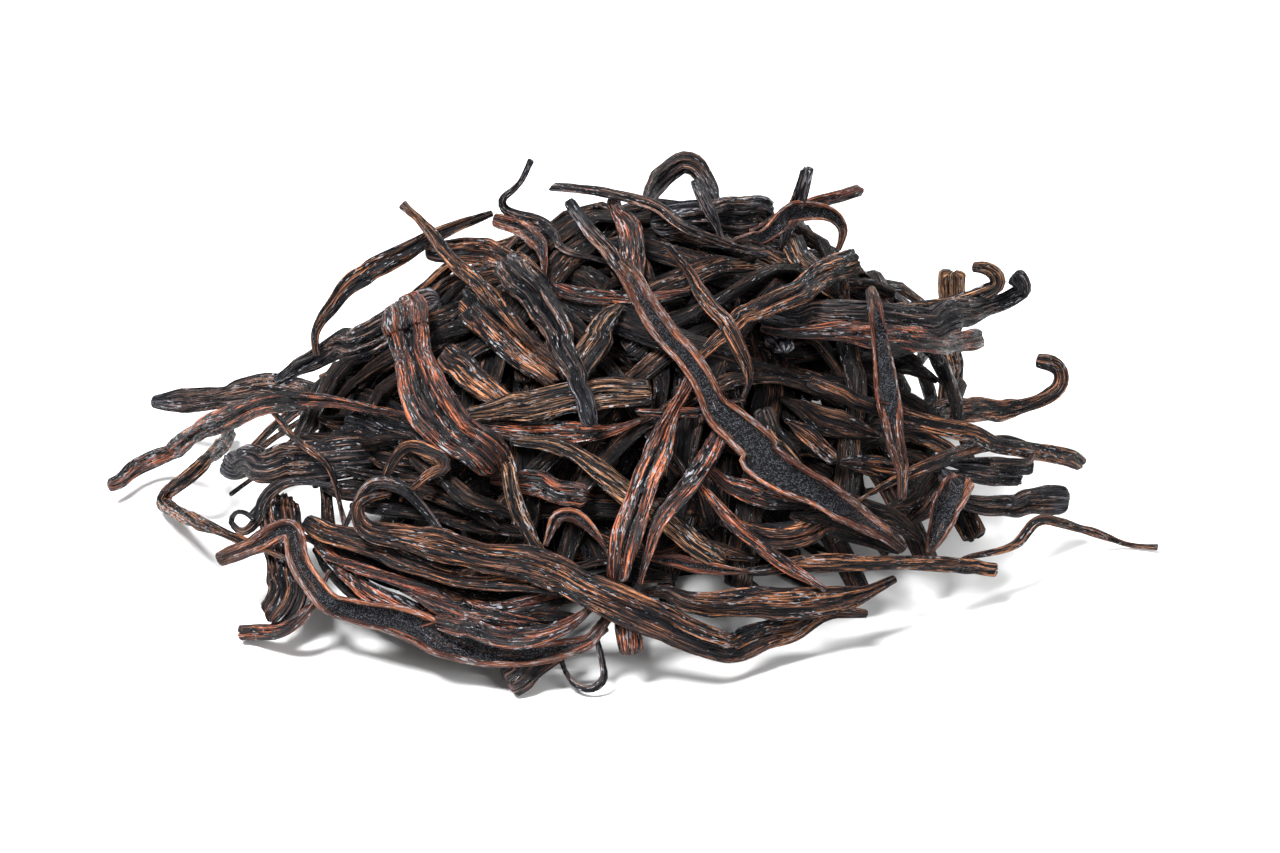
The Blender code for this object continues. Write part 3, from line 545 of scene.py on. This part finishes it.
DEEPLY_GROOVED = ("big_red", "strap_middle", "tall_front_1", "red_left")
OPENING = {"long_split": (0.78, 0.8), "upright_split": (0.5, 0.88), "split_front_left": (0.74, 0.7),
           "vee_split_right": (0.75, 0.8), "arch_split": (0.7, 0.6)}
RIM_WIDTH = 1.8 * MM
# How far a split pod gapes along its length: (share of the length, share of its full opening).
GAPING = {"long_split": ((0.0, 0.2), (0.12, 0.45), (0.42, 0.55), (0.6, 1.0), (0.84, 0.8), (1.0, 0.2)),
          "split_front_left": ((0.0, 0.1), (0.12, 0.5), (0.3, 0.7), (0.5, 1.0), (0.9, 0.8), (1.0, 0.3)),
          "upright_split": ((0.0, 0.05), (0.2, 0.1), (0.34, 1.0), (0.62, 0.95), (0.74, 0.15),
                            (1.0, 0.1))}
EVEN_GAPE = ((0.0, 1.0), (1.0, 1.0))
ROUNDING = np.array((0.04, 0.2, 0.5, 1.0))
TORN_ROUNDING = 0.5
TORN_EDGE = 1.6 * MM


def random_bumps(rng, around, along, columns, rows, sharp=False):
    """Random values from 0 to 1, with so many round a pod and so many along it."""
    lattice = rng.rand(rows + 2, columns)
    u, v = (around % 1) * columns, np.clip(along, 0, 1) * rows
    i, j = np.floor(u).astype(int), np.floor(v).astype(int)
    u, v = u - i, v - j
    if not sharp:
        u, v = u * u * (3 - 2 * u), v * v * (3 - 2 * v)
    a, b = i % columns, (i + 1) % columns
    near = lattice[j, a] * (1 - u) + lattice[j, b] * u
    far = lattice[j + 1, a] * (1 - u) + lattice[j + 1, b] * u
    return near * (1 - v) + far * v


def wander(rng, distances, wavelengths, size):
    """A smooth random course along a pod."""
    course = np.zeros(len(distances))
    for wavelength in wavelengths:
        start = rng.uniform(0, 6.3)
        course += np.sin(2 * math.pi * distances / wavelength + start) * rng.uniform(0.4, 1)
    return size * course / len(wavelengths)


def dome(share):
    """How wide a rounded end is at a share of its own length."""
    return np.sqrt(1 - (1 - np.clip(share, 0, 1)) ** 2)


def even_angles(sides, flatness):
    """Angles round a flattened section that lie at even distances along its outline."""
    angles = np.linspace(0, 2 * math.pi, 721)
    run = np.concatenate([[0], np.cumsum(np.hypot(np.sin(angles), flatness * np.cos(angles))[:-1])])
    return np.interp(np.arange(sides) / sides * run[-1], run, angles), run[-1] * 2 * math.pi / 720


def along_line(vectors, passes):
    """Vectors evened out along a pod."""
    for _ in range(passes):
        padded = np.vstack([vectors[:1], vectors, vectors[-1:]])
        vectors = 0.25 * padded[:-2] + 0.5 * padded[1:-1] + 0.25 * padded[2:]
    return vectors


def jagged(rng, distances, spacing, size):
    """An uneven course along a pod, in short runs that change their direction at soft corners."""
    count = int(distances[-1] / spacing) + 3
    knots = np.sort(rng.uniform(-0.05, 1.05, count)) * distances[-1]
    return size * along_line(np.interp(distances, knots, rng.uniform(-1, 1, count))[:, None], 1)[:, 0]


def pod_form(pod, around_step, along_step):
    """A pod's grid of points, and what its skin is like at each."""
    rng = np.random.RandomState(1000 + pod["number"])
    kind, width = pod["kind"], pod["width"]
    line = smooth_route(np.column_stack([pod["nodes"], pod["out"]]), 3)
    at = travelled(line)
    length = at[-1]
    flatness = FLATNESS[kind] * rng.uniform(0.85, 1.2)
    blunt = [TORN_ROUNDING if end == "cut" else 1.0 for end in pod["ends"].split()]
    first, last = end_width(np.array((0.0, 1.0)), pod["ends"]) * width / 2 * flatness * blunt
    rings = np.unique(np.concatenate([
        ROUNDING * first, length - ROUNDING * last,
        np.linspace(first * 1.5, length - last * 1.5, max(6, int(length / along_step)))]))
    line = read_along(line, at, rings)
    share = rings / length
    rounded = np.minimum(dome(rings / first), dome((length - rings) / last))
    loose = np.minimum(1, np.minimum(rings, length - rings) / (8 * MM))
    centre = line[:, :3] + np.stack([loose * jagged(rng, rings, KINK_SPACING, KINK_SIZE * width)
                                     for _ in range(3)], axis=1)
    ahead = unit(along_line(np.gradient(centre, axis=0), 2))
    out = line[:, 3:]
    out = unit(along_line(out - ahead * (out * ahead).sum(axis=1, keepdims=True), 12))
    out = unit(out - ahead * (out * ahead).sum(axis=1, keepdims=True))
    steady = 0.3 if kind == "split" or width > WIDE_POD else 1.0
    roll = rng.uniform(-0.4, 0.4) * steady
    roll = roll + wander(rng, rings, (60 * MM, 110 * MM), 1.3 * TWIST[kind] * steady)
    aside = np.cross(ahead, out)
    aside, out = (np.cos(roll)[:, None] * aside + np.sin(roll)[:, None] * out,
                  np.cos(roll)[:, None] * out - np.sin(roll)[:, None] * aside)
    swell = SHRUNK_TO + jagged(rng, rings, 8 * MM, 0.05) + jagged(rng, rings, 26 * MM, 0.14)
    wide = end_width(share, pod["ends"]) * width / 2 * swell
    thick = np.maximum(wide * flatness * (1 + jagged(rng, rings, 12 * MM, 0.3)), THINNEST)
    wide, thick = (np.maximum(wide, 0.7 * MM) * rounded)[:, None], (thick * rounded)[:, None]

    angles, outline = even_angles(max(14, int(2 * width * (1 + flatness) / around_step)), flatness)
    sides = len(angles)
    turn = np.arange(sides) / sides + np.zeros((len(rings), 1))
    meander = wander(rng, rings, (23 * MM, 47 * MM), 0.035)[:, None]
    folds = abs(2 * random_bumps(rng, turn + 2 * meander, share[:, None], 5,
                                 max(1, int(length / (38 * MM)))) - 1)
    folds = np.clip(1 - folds * 3.2, 0, 1) ** 1.3
    columns = max(7, int(round(outline * width / 2 / RIDGE_SPACING)))
    ridges = random_bumps(rng, turn + meander, share[:, None], columns,
                          max(2, int(length / (15 * MM))), True)
    creases = np.clip(abs(2 * ridges - 1) * 1.8, 0, 1) ** 0.8
    facets = 1 + FACET_DEPTH * (random_bumps(rng, turn + meander, share[:, None], 7,
                                             max(1, int(length / (18 * MM))), True) - 0.5)
    knots = random_bumps(rng, turn, share[:, None], 6, max(3, int(length / (4 * MM))))
    c, s = np.cos(angles)[None, :], np.sin(angles)[None, :]
    across, up = wide * c * facets, thick * s * facets * (1 - FOLD_DEPTH[kind] * folds)
    bed, rim = np.zeros_like(turn), np.zeros_like(turn)
    if kind == "split":
        gape = np.interp(share, *zip(*GAPING.get(pod["name"], EVEN_GAPE)))
        opening = [side * gape for side in OPENING.get(pod["name"], rng.uniform(0.2, 0.5, 2))]
        across, up, bed, rim = opened(rng, rings, length, wide, thick, c, s, opening)
        creases = creases * (1 - rim * 0.5) * (1 - bed) + 0.45 * rim
    elif pod["name"] in DEEPLY_GROOVED or rng.rand() < GROOVED_SHARE:
        groove = grooved(rng, rings, length, c, s, pod["name"] in DEEPLY_GROOVED)
        up, folds = up - groove * thick, np.maximum(folds, np.clip(groove, 0, 1))
    grown = RIDGE_HEIGHT[kind] * (creases - 0.7 + 0.35 * (knots - 0.5))
    grown = grown * np.minimum(1, thick / (1.2 * MM))
    lean = np.hypot(c / np.maximum(wide, 1e-6), s / np.maximum(thick, 1e-6))
    across = across * (1 - 0.06 * folds) + grown * (c / np.maximum(wide, 1e-6)) / lean
    up = up + grown * (s / np.maximum(thick, 1e-6)) / lean
    grid = centre[:, None] + across[..., None] * aside[:, None] + up[..., None] * out[:, None]
    ragged = TORN_EDGE * (random_bumps(rng, turn, share[:, None], columns, 3) - 0.5)
    for torn, near in zip(blunt, (rings, length - rings)):
        if torn < 1:
            fade = np.clip(1 - near / (4 * MM), 0, 1)[:, None]
            grid += (fade * ragged)[..., None] * ahead[:, None]
    grid[..., 2] = np.maximum(grid[..., 2], 0.15 * MM)
    round_radius = outline * width / 2 / (2 * math.pi)
    straight = np.stack([rings[:, None] + 0.31 * pod["number"] + 0 * turn,
                         round_radius * np.cos(2 * math.pi * turn),
                         round_radius * np.sin(2 * math.pi * turn)], axis=-1)
    patches = random_bumps(rng, turn, share[:, None], 5, max(2, int(length / (9 * MM)))) - 0.5
    tip = np.clip(1 - np.minimum(rings, length - rings)[:, None] / (24 * MM) + 0.7 * patches, 0, 1)
    # The ridge value is low in the creases, folds and grooves; the skins darken those places to their
    # furrow colour, partly the skin's own dark and partly painted shade.
    return {"grid": grid, "straight": straight, "ridge": np.clip(creases * (1 - 0.75 * folds), 0, 1),
            "bed": bed, "rim": rim, "tip": tip, "tone": np.full(turn.shape, rng.rand())}


def grooved(rng, rings, length, c, s, deep):
    """How far a pod has sunk in along the upper side, where its hollow middle has collapsed."""
    depth = 1.25 if deep else rng.uniform(0.4, 1.0)
    middle = (0.0 if deep else rng.uniform(-0.35, 0.35)) + wander(rng, rings, (31 * MM, 57 * MM), 0.16)
    inwards = np.minimum(rings - rng.uniform(0, 0.15) * length, length - rings)
    run = np.clip(inwards / (0.18 * length), 0, 1)
    valley = np.exp(-((c - middle[:, None]) / rng.uniform(0.14, 0.24)) ** 2)
    return depth * run[:, None] * valley * (s > 0)


def opened(rng, rings, length, wide, thick, c, s, opening):
    """A pod's section where it has split down its length: two rolled rims and a bed of seeds."""
    ajar = np.clip(np.minimum(rings, length - rings) / (0.2 * length), 0, 1)[:, None] ** 0.7
    near, far = (ajar * np.clip(side + jagged(rng, rings, 8 * MM, 0.1), 0.02, 0.92)[:, None]
                 for side in opening)
    reach = np.where(c > 0, near, far)
    upper = s > 0
    beyond = np.clip((abs(c) - reach) / np.maximum(1 - reach, 0.05), 0, 1)
    lip = 0.95 * np.sin(math.pi * beyond ** 0.8)
    trough = -0.25 - 0.35 * (1 - (np.minimum(abs(c), reach) / np.maximum(reach, 0.05)) ** 2)
    laid_open = np.where(beyond > 0, lip, trough) * ajar + (1 - ajar) * s
    up = np.where(upper, laid_open, s) * thick
    bed = np.where(upper & (beyond <= 0), ajar, 0) + 0 * up
    from_bed = (abs(c) - reach) * wide / RIM_WIDTH
    rim = np.where(upper & (beyond > 0), np.clip(1.8 - from_bed, 0, 1) * np.clip(4 * reach, 0, 1), 0)
    return wide * c + 0 * up, up, bed, rim


def faced_mesh(name, places, corners, starts):
    """A mesh: its points, the points of its faces in a row, and where in that row each face starts."""
    mesh = bpy.data.meshes.new(name)
    mesh.vertices.add(len(places))
    mesh.vertices.foreach_set("co", places.ravel())
    mesh.loops.add(len(corners))
    mesh.loops.foreach_set("vertex_index", corners.astype(np.int32))
    mesh.polygons.add(len(starts))
    mesh.polygons.foreach_set("loop_start", starts.astype(np.int32))
    mesh.update(calc_edges=True)
    return mesh


KEPT_VALUES = ("straight", "ridge", "bed", "rim", "tip", "tone")


def joined_mesh(name, forms):
    """One mesh of many pods, with their skins' values kept at its points."""
    places, quads, caps, kept = [], [], [], {key: [] for key in KEPT_VALUES}
    start = 0
    for form in forms:
        rings, sides = form["grid"].shape[:2]
        index = start + np.arange(rings * sides).reshape(rings, sides)
        beside = np.roll(index, -1, axis=1)
        quads.append(np.stack([index[:-1], beside[:-1], beside[1:], index[1:]], axis=-1).reshape(-1, 4))
        middles = start + rings * sides + np.arange(2)
        caps.append(np.stack([beside[0], index[0], np.full(sides, middles[0])], axis=-1))
        caps.append(np.stack([index[-1], beside[-1], np.full(sides, middles[1])], axis=-1))
        places += [form["grid"].reshape(-1, 3), form["grid"][[0, -1]].mean(axis=1)]
        for key, values in kept.items():
            flat = form[key].reshape(rings * sides, -1)
            values += [flat, flat[[0, -1]]]
        start += rings * sides + 2
    quads, caps = np.vstack(quads), np.vstack(caps)
    starts = np.concatenate([4 * np.arange(len(quads)), quads.size + 3 * np.arange(len(caps))])
    mesh = faced_mesh(name, np.vstack(places), np.concatenate([quads.ravel(), caps.ravel()]), starts)
    mesh.shade_smooth()
    for key, values in kept.items():
        vector = key == "straight"
        layer = mesh.attributes.new(key, "FLOAT_VECTOR" if vector else "FLOAT", "POINT")
        layer.data.foreach_set("vector" if vector else "value", np.vstack(values).ravel())
    return set_down(name, mesh)


# How fine each pod is made, around and along it: fine where it shows, and coarse inside the heap.
STEPS = {"shown": (0.42 * MM, 1.3 * MM), "far": (0.75 * MM, 2.3 * MM), "deep": (0.75 * MM, 2.3 * MM),
         "buried": (1.4 * MM, 5.8 * MM)}


def forms_of(kind):
    """The forms of all pods of a kind, apart from those inside the heap."""
    return [pod_form(pod, *STEPS[pod["place"]]) for pod in heap
            if pod["kind"] == kind and pod["place"] not in ("deep", "buried")]


# Dark pods: the best cured ones, nearly black, with brown only on the crests of their ridges and a
# grey bloom towards their ends. Their skin is leathery, and oiled just enough to shine softly.
class Field:
    """A number or a colour that varies over a surface, with Python's operators for its maths."""

    def __init__(self, finish, socket):
        self.finish, self.socket = finish, socket

    def __add__(self, other):
        return self.finish.maths("ADD", self, other)

    def __sub__(self, other):
        return self.finish.maths("SUBTRACT", self, other)

    def __rsub__(self, other):
        return self.finish.maths("SUBTRACT", other, self)

    def __mul__(self, other):
        return self.finish.maths("MULTIPLY", self, other)

    __radd__, __rmul__ = __add__, __mul__


class Finish:
    """A material's nodes: every one is made by node(), and numbers meet through maths()."""

    def __init__(self, name, **constants):
        self.material = bpy.data.materials.new(name)
        self.material.use_nodes = True
        self.tree = self.material.node_tree
        self.shader = self.tree.nodes["Principled BSDF"]
        for socket, value in constants.items():
            self.shader.inputs[socket.replace("_", " ")].default_value = value

    def node(self, kind, settings, inputs, output=0):
        made = self.tree.nodes.new(kind)
        for key, value in settings.items():
            setattr(made, key, value)
        for key, value in inputs.items():
            if isinstance(value, Field):
                self.tree.links.new(value.socket, made.inputs[key])
            else:
                made.inputs[key].default_value = value
        return Field(self, made.outputs[output])

    def maths(self, operation, first, second):
        return self.node("ShaderNodeMath", {"operation": operation}, {0: first, 1: second})

    def kept(self, name, output=2):
        return self.node("ShaderNodeAttribute", {"attribute_name": name}, {}, output)

    def grain(self, along, around, detail=2.0, rough=0.55):
        """Noise in a pod's own straightened shape: so many cells a metre along and around it."""
        stretched = self.node("ShaderNodeVectorMath", {"operation": "MULTIPLY"},
                              {0: self.kept("straight", 1), 1: (along, around, around)})
        return self.node("ShaderNodeTexNoise", {}, {"Vector": stretched, "Scale": 1.0, "Detail": detail,
                                                    "Roughness": rough})

    def step(self, value, low, high):
        return self.node("ShaderNodeMapRange", {"interpolation_type": "SMOOTHSTEP"},
                         {"Value": value, "From Min": low, "From Max": high})

    def cracks(self, grain, width):
        """Thin lines, where a grain crosses its middle value."""
        return 1 - self.step(self.maths("ABSOLUTE", grain - 0.5, 0.0), width * 0.6, width)

    def dried_cracks(self, streak, fine, widths):
        """Black lines of three sizes, which run along a pod."""
        broad = self.cracks(self.grain(34, 1550, 1.0), widths[0])
        return self.larger(self.larger(broad, self.cracks(streak, widths[1])),
                           self.cracks(fine, widths[2]) * 0.7)

    def larger(self, first, second):
        return self.maths("MAXIMUM", first, second)

    def over(self, mask, below, above):
        """One colour laid over another where the mask says."""
        return self.node("ShaderNodeMix", {"data_type": "RGBA", "clamp_factor": True},
                         {0: mask, 6: below, 7: above}, 2)

    def feed(self, socket, value):
        self.tree.links.new(value.socket, self.shader.inputs[socket])

    def bump(self, height, strength, distance):
        self.feed("Normal", self.node("ShaderNodeBump", {}, {
            "Strength": strength, "Distance": distance, "Height": height}))


STREAKS, FIBRES, FLECKS = (70, 1250), (260, 2900), (560, 2400)
# Pale neutral specks laid into the base colour: painted glints.
PAINTED_GLINT = (0.355, 0.365, 0.4, 1)


CRACK_WIDTHS = (0.07, 0.049, 0.042)


def pod_skin(name, furrow_and_shade, flesh, crest, bloom, bloom_reach, worn, sooty, matt, wet=0.36, glint_amount=0.0,
             **constants):
    """A pod's skin: flesh with paler worn crests, black dried cracks and patches, a grey bloom, furrows
    dark partly by their own colour and partly by painted shade, and pale specks of painted glint.
    """
    finish = Finish(name, **constants)
    ridge, tone = finish.kept("ridge"), finish.kept("tone")
    streak, fine, patch = finish.grain(*STREAKS), finish.grain(*FIBRES), finish.grain(60, 280, 3.0)
    rubbed = patch + (streak - 0.5) * 0.5 + (fine - 0.5) * 0.2 + ridge * 0.12 + tone * 0.15
    colour = finish.over(finish.step(rubbed + worn, 0.56, 0.72), (*flesh, 1), (*crest, 1))
    grey = finish.step(finish.kept("tip") + (streak - 0.5) * 0.8, 1 - bloom_reach,
                       1.25 - bloom_reach * 0.4)
    colour = finish.over(grey * 0.85, colour, (*bloom, 1))
    soot = finish.step(finish.grain(38, 210, 3.0) + (streak - 0.5) * 0.9 + sooty, 0.62, 0.67)
    cracks = finish.dried_cracks(streak, fine, CRACK_WIDTHS)
    # Cracks and soot patches are the skin's own black; the low places of the ridge value, in the creases
    # and folds, are darkened as painted shade.
    sunk = finish.larger(cracks, finish.larger(soot, 1 - finish.step(ridge, 0.15, 0.5)))
    colour = finish.over(sunk, colour, (*furrow_and_shade, 1))
    # Pale specks, mostly on the ridges: painted glints.
    painted_glints = finish.step(finish.grain(*FLECKS) + ridge * 0.06 + (patch - 0.5) * 0.5 + glint_amount, 0.664, 0.7)
    finish.feed("Base Color", finish.over(painted_glints * 0.78, colour, PAINTED_GLINT))
    moist = finish.step(finish.grain(260, 900), 0.5, 0.58)
    finish.feed("Roughness", matt - moist * wet + (fine - 0.5) * 0.5)
    finish.bump(streak + fine * 0.4 - cracks * 0.06, 1.0, 2.4 * MM)
    return finish.material


def settled_piece(piece, skin):
    """A piece that lies in the heap in place of the plain solid, with its skin."""
    piece.data.materials.append(skin)
    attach(piece, "root")
    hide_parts("vanilla_pods")


settled_piece(joined_mesh("dark_pods", forms_of("dark")), pod_skin(
    "dark_skin", furrow_and_shade=(0.004, 0.0043, 0.0062), flesh=(0.11, 0.083, 0.08), crest=(0.27, 0.145, 0.1),
    bloom=(0.096, 0.106, 0.136), bloom_reach=0.6, worn=-0.02, sooty=0.04, matt=0.6, glint_amount=-0.024,
    Specular_IOR_Level=0.2))


# Brown pods: drier ones, whose ridges have rubbed to a light brown between near-black furrows, dark
# partly by their own colour and partly by painted shade.
# They make up much of the heap, the long pod that lies along its front among them.
settled_piece(joined_mesh("brown_pods", forms_of("brown")), pod_skin(
    "brown_skin", furrow_and_shade=(0.0044, 0.0044, 0.006), flesh=(0.15, 0.064, 0.038), crest=(0.48, 0.194, 0.088),
    bloom=(0.07, 0.068, 0.082), bloom_reach=0.3, worn=0.02, sooty=0.01, matt=0.6, glint_amount=-0.01,
    Specular_IOR_Level=0.2))


# Red pods: the moistest, a deep red-brown all over. Oil has come to their surface, so that their smoother
# ridges carry small bright lights: real ones from glossy spots, and painted glints, more than on the
# other pods.
settled_piece(joined_mesh("red_pods", forms_of("red")), pod_skin(
    "red_skin", furrow_and_shade=(0.0045, 0.004, 0.0052), flesh=(0.19, 0.055, 0.034), crest=(0.56, 0.158, 0.066),
    bloom=(0.08, 0.075, 0.085), bloom_reach=0.2, worn=0.0, sooty=0.02, matt=0.52, wet=0.34,
    Specular_IOR_Level=0.36))


# Tan pods: the driest, flat and hard, with pale straw-brown ridges as on old wood.
settled_piece(joined_mesh("tan_pods", forms_of("tan")), pod_skin(
    "tan_skin", furrow_and_shade=(0.005, 0.0048, 0.006), flesh=(0.2, 0.105, 0.064), crest=(0.49, 0.245, 0.128),
    bloom=(0.1, 0.095, 0.1), bloom_reach=0.2, worn=0.03, sooty=-0.02, matt=0.6, glint_amount=-0.01,
    Specular_IOR_Level=0.2))


# Split pods: they have opened down their length. The rims roll outwards, smooth, orange and glossy, with
# painted glints, round a black bed of tiny seeds.
SEED_SIZES = (0.15 * MM, 0.28 * MM)
SEED_SPACING = 0.38 * MM
SPLIT_CRACK_WIDTHS = (0.07, 0.05, 0.04)


def split_skin():
    """The outside of a split pod, its glossy rims with painted glints, and the black lining of its seed
    bed.
    """
    finish = Finish("split_skin", Specular_IOR_Level=0.22)
    ridge, bed, rim = finish.kept("ridge"), finish.kept("bed"), finish.kept("rim")
    streak, fine, patch = finish.grain(*STREAKS), finish.grain(*FIBRES), finish.grain(60, 240, 3.0)
    rubbed = patch + (streak - 0.5) * 0.5 + ridge * 0.15
    colour = finish.over(finish.step(rubbed, 0.55, 0.7), (0.11, 0.048, 0.032, 1),
                         (0.38, 0.165, 0.085, 1))
    glow = finish.over(finish.step(patch + (streak - 0.5) * 0.8, 0.42, 0.66),
                       (0.19, 0.056, 0.03, 1), (0.56, 0.2, 0.095, 1))
    colour = finish.over(rim, colour, glow)
    soot = finish.step(finish.grain(38, 210, 3.0) + (streak - 0.5) * 0.9, 0.56, 0.64) * (1 - rim * 0.6)
    cracks = finish.dried_cracks(streak, fine, SPLIT_CRACK_WIDTHS) * (1 - rim * 0.15)
    sunk = finish.larger(finish.larger(cracks, soot), bed)
    colour = finish.over(sunk, colour, (0.0042, 0.0042, 0.0055, 1))
    # Pale specks on the outer skin and the rims: painted glints.
    painted_glints = finish.step(finish.grain(*FLECKS) + rim * 0.05 + (patch - 0.5) * 0.4, 0.63, 0.68)
    finish.feed("Base Color", finish.over(painted_glints * (1 - bed) * 0.65, colour, PAINTED_GLINT))
    moist = finish.step(finish.grain(220, 700), 0.46, 0.56)
    finish.feed("Roughness", 0.5 - moist * 0.28 * (1 - bed) + (fine - 0.5) * 0.4 + bed * 0.2)
    finish.bump(streak + fine * 0.4 - cracks * 0.06, 1.0, 1.8 * MM)
    return finish.material


def grain_shape():
    """A seed: a small solid of eight faces."""
    corners = np.array([(1, 0, 0), (-1, 0, 0), (0, 1, 0), (0, -1, 0), (0, 0, 1), (0, 0, -1)], float)
    return corners, [(a, b, c) for a in (0, 1) for b in (2, 3) for c in (4, 5)]


def seeds_on(forms):
    """Middles and sizes of the seeds that cover each split pod's bed."""
    rng = np.random.RandomState(31)
    middles = []
    for form in forms:
        grid, bed = form["grid"], form["bed"] > 0.35
        inner = bed[:-1] & bed[1:]
        inner = inner & np.roll(inner, -1, axis=1)
        ring, side = np.nonzero(inner)
        beside = (side + 1) % grid.shape[1]
        a, b, c = grid[ring, side], grid[ring + 1, side], grid[ring, beside]
        area = np.linalg.norm(np.cross(b - a, c - a), axis=1)
        each = rng.poisson(area / SEED_SPACING ** 2)
        for start, down, over, count in zip(a, b - a, c - a, each):
            spots = rng.rand(count, 2)
            middles.append(start + spots[:, :1] * down + spots[:, 1:] * over)
    middles = np.vstack(middles)
    return middles, rng.uniform(*SEED_SIZES, len(middles)), rng


def seed_piece(forms):
    """Every seed as one mesh of small turned grains, black, with pale specks of painted glint on some."""
    corners, faces = grain_shape()
    middles, sizes, rng = seeds_on(forms)
    stretch = rng.uniform(0.75, 1.2, (len(middles), 1, 3))
    places = middles[:, None] + sizes[:, None, None] * stretch * corners[None]
    outward = []
    for a, b, c in faces:
        faces_out = np.dot(np.cross(corners[b] - corners[a], corners[c] - corners[a]), corners[a]) > 0
        outward.append((a, b, c) if faces_out else (a, c, b))
    index = np.array(outward)[None] + len(corners) * np.arange(len(middles))[:, None, None]
    mesh = faced_mesh("seeds", places.reshape(-1, 3), index.ravel(), 3 * np.arange(index.size // 3))
    finish = Finish("seed_black", Specular_IOR_Level=0.3)
    speckle = finish.node("ShaderNodeTexNoise", {}, {"Scale": 1900.0, "Detail": 1.0})
    # The pale specks are painted glints on the black seeds.
    pale = finish.step(speckle, 0.63, 0.66)
    finish.feed("Base Color", finish.over(pale, (0.0012, 0.0012, 0.0018, 1), (0.4, 0.43, 0.52, 1)))
    finish.feed("Roughness", 0.42 - pale * 0.2)
    settled_piece(set_down("seeds", mesh), finish.material)


split_forms = forms_of("split")
settled_piece(joined_mesh("split_pods", split_forms), split_skin())
seed_piece(split_forms)


# The pods inside the heap, of every kind, and the dark filling pods, which show as dark lengths in the
# gaps between the others. Their skin is a darkened copy of the pods' skins: painted shade.
buried_forms = [pod_form(pod, *STEPS[pod["place"]]) for pod in heap if pod["place"] in ("deep", "buried")]
settled_piece(joined_mesh("buried_pods", buried_forms), pod_skin(
    "buried_shaded_skin", furrow_and_shade=(0.0035, 0.0035, 0.0045), flesh=(0.048, 0.026, 0.019),
    crest=(0.19, 0.09, 0.053), bloom=(0.03, 0.029, 0.032), bloom_reach=0.25, worn=-0.04, sooty=0.06,
    matt=0.6, glint_amount=-0.06, Specular_IOR_Level=0.14))


# The middle of the heap, where pods are pressed together in the dark: a low rough dome that only keeps
# light from coming through. Its near-black skin is painted shade, a dark mass in place of shaded pods.
CORE_HALF_WIDTH, CORE_HALF_DEPTH, CORE_HEIGHT = 52 * MM, 35 * MM, 42 * MM
CORE_RINGS, CORE_SIDES = 26, 90
share = np.linspace(0.02, 1, CORE_RINGS)[:, None]
angle = 2 * math.pi * np.arange(CORE_SIDES)[None] / CORE_SIDES
lumps = random_bumps(np.random.RandomState(3), angle / (2 * math.pi) + 0 * share, share + 0 * angle,
                     40, 12)
along = CORE_HALF_WIDTH * share * np.cos(angle)
across = CORE_HALF_DEPTH * share * np.sin(angle)
rise = CORE_HEIGHT * (1 - share ** 2.2) + 4 * MM * (lumps - 0.5) * (1 - share)
core_grid = np.stack([along * math.cos(MOUND_TURN) - across * math.sin(MOUND_TURN),
                      along * math.sin(MOUND_TURN) + across * math.cos(MOUND_TURN),
                      np.maximum(rise, 0) + 0.5 * MM + 0 * angle], axis=-1)
flat = np.zeros((CORE_RINGS, CORE_SIDES))
core_form = {"grid": core_grid[::-1], "straight": core_grid, "ridge": lumps, "bed": flat, "rim": flat,
             "tip": flat, "tone": flat}
settled_piece(joined_mesh("heap_middle", [core_form]), pod_skin(
    "heap_middle_skin", furrow_and_shade=(0.004, 0.003, 0.003), flesh=(0.008, 0.006, 0.005),
    crest=(0.012, 0.008, 0.006), bloom=(0.008, 0.008, 0.008), bloom_reach=0.1, worn=-0.1, sooty=0.2,
    matt=0.8, wet=0.0, glint_amount=-0.5, Specular_IOR_Level=0.05))


# The table and the light: a plain pale ground that runs out of view, a broad soft box over the
# heap's left shoulder, a weaker one in front, and a pale room. The picture keeps plain contrast.
bpy.context.scene.view_settings.view_transform = "Standard"
TABLE_HALF = 3.0
table = bpy.data.meshes.new("table")
table.from_pydata([(-TABLE_HALF, -TABLE_HALF, 0), (TABLE_HALF, -TABLE_HALF, 0),
                   (TABLE_HALF, TABLE_HALF, 0), (-TABLE_HALF, TABLE_HALF, 0)], [], [(0, 1, 2, 3)])
table = set_down("table", table)
ground = Finish("ground", Roughness=0.8)
mottle = ground.node("ShaderNodeTexNoise", {}, {"Scale": 3.0})
ground.feed("Base Color", ground.over(mottle, (0.9, 0.9, 0.9, 1), (0.93, 0.93, 0.93, 1)))
table.data.materials.append(ground.material)

LAMPS = (("key", (-0.4, -0.35, 0.95), 0.36, 27.0), ("front", (0.55, -0.9, 0.6), 0.5, 6.0),
         ("behind", (0.3, 0.8, 0.7), 0.5, 7.0))
for name, place, size, power in LAMPS:
    lamp = bpy.data.lights.new(name, "AREA")
    lamp.shape, lamp.size, lamp.energy = "DISK", size, power
    box = set_down(name, lamp)
    box.location = place
    box.rotation_euler = (Vector(AIM) - Vector(place)).to_track_quat("-Z", "Y").to_euler()

room = bpy.data.worlds.new("room")
room.use_nodes = True
room.node_tree.nodes["Background"].inputs["Color"].default_value = (1, 1, 1, 1)
room.node_tree.nodes["Background"].inputs["Strength"].default_value = 0.32
bpy.context.scene.world = room
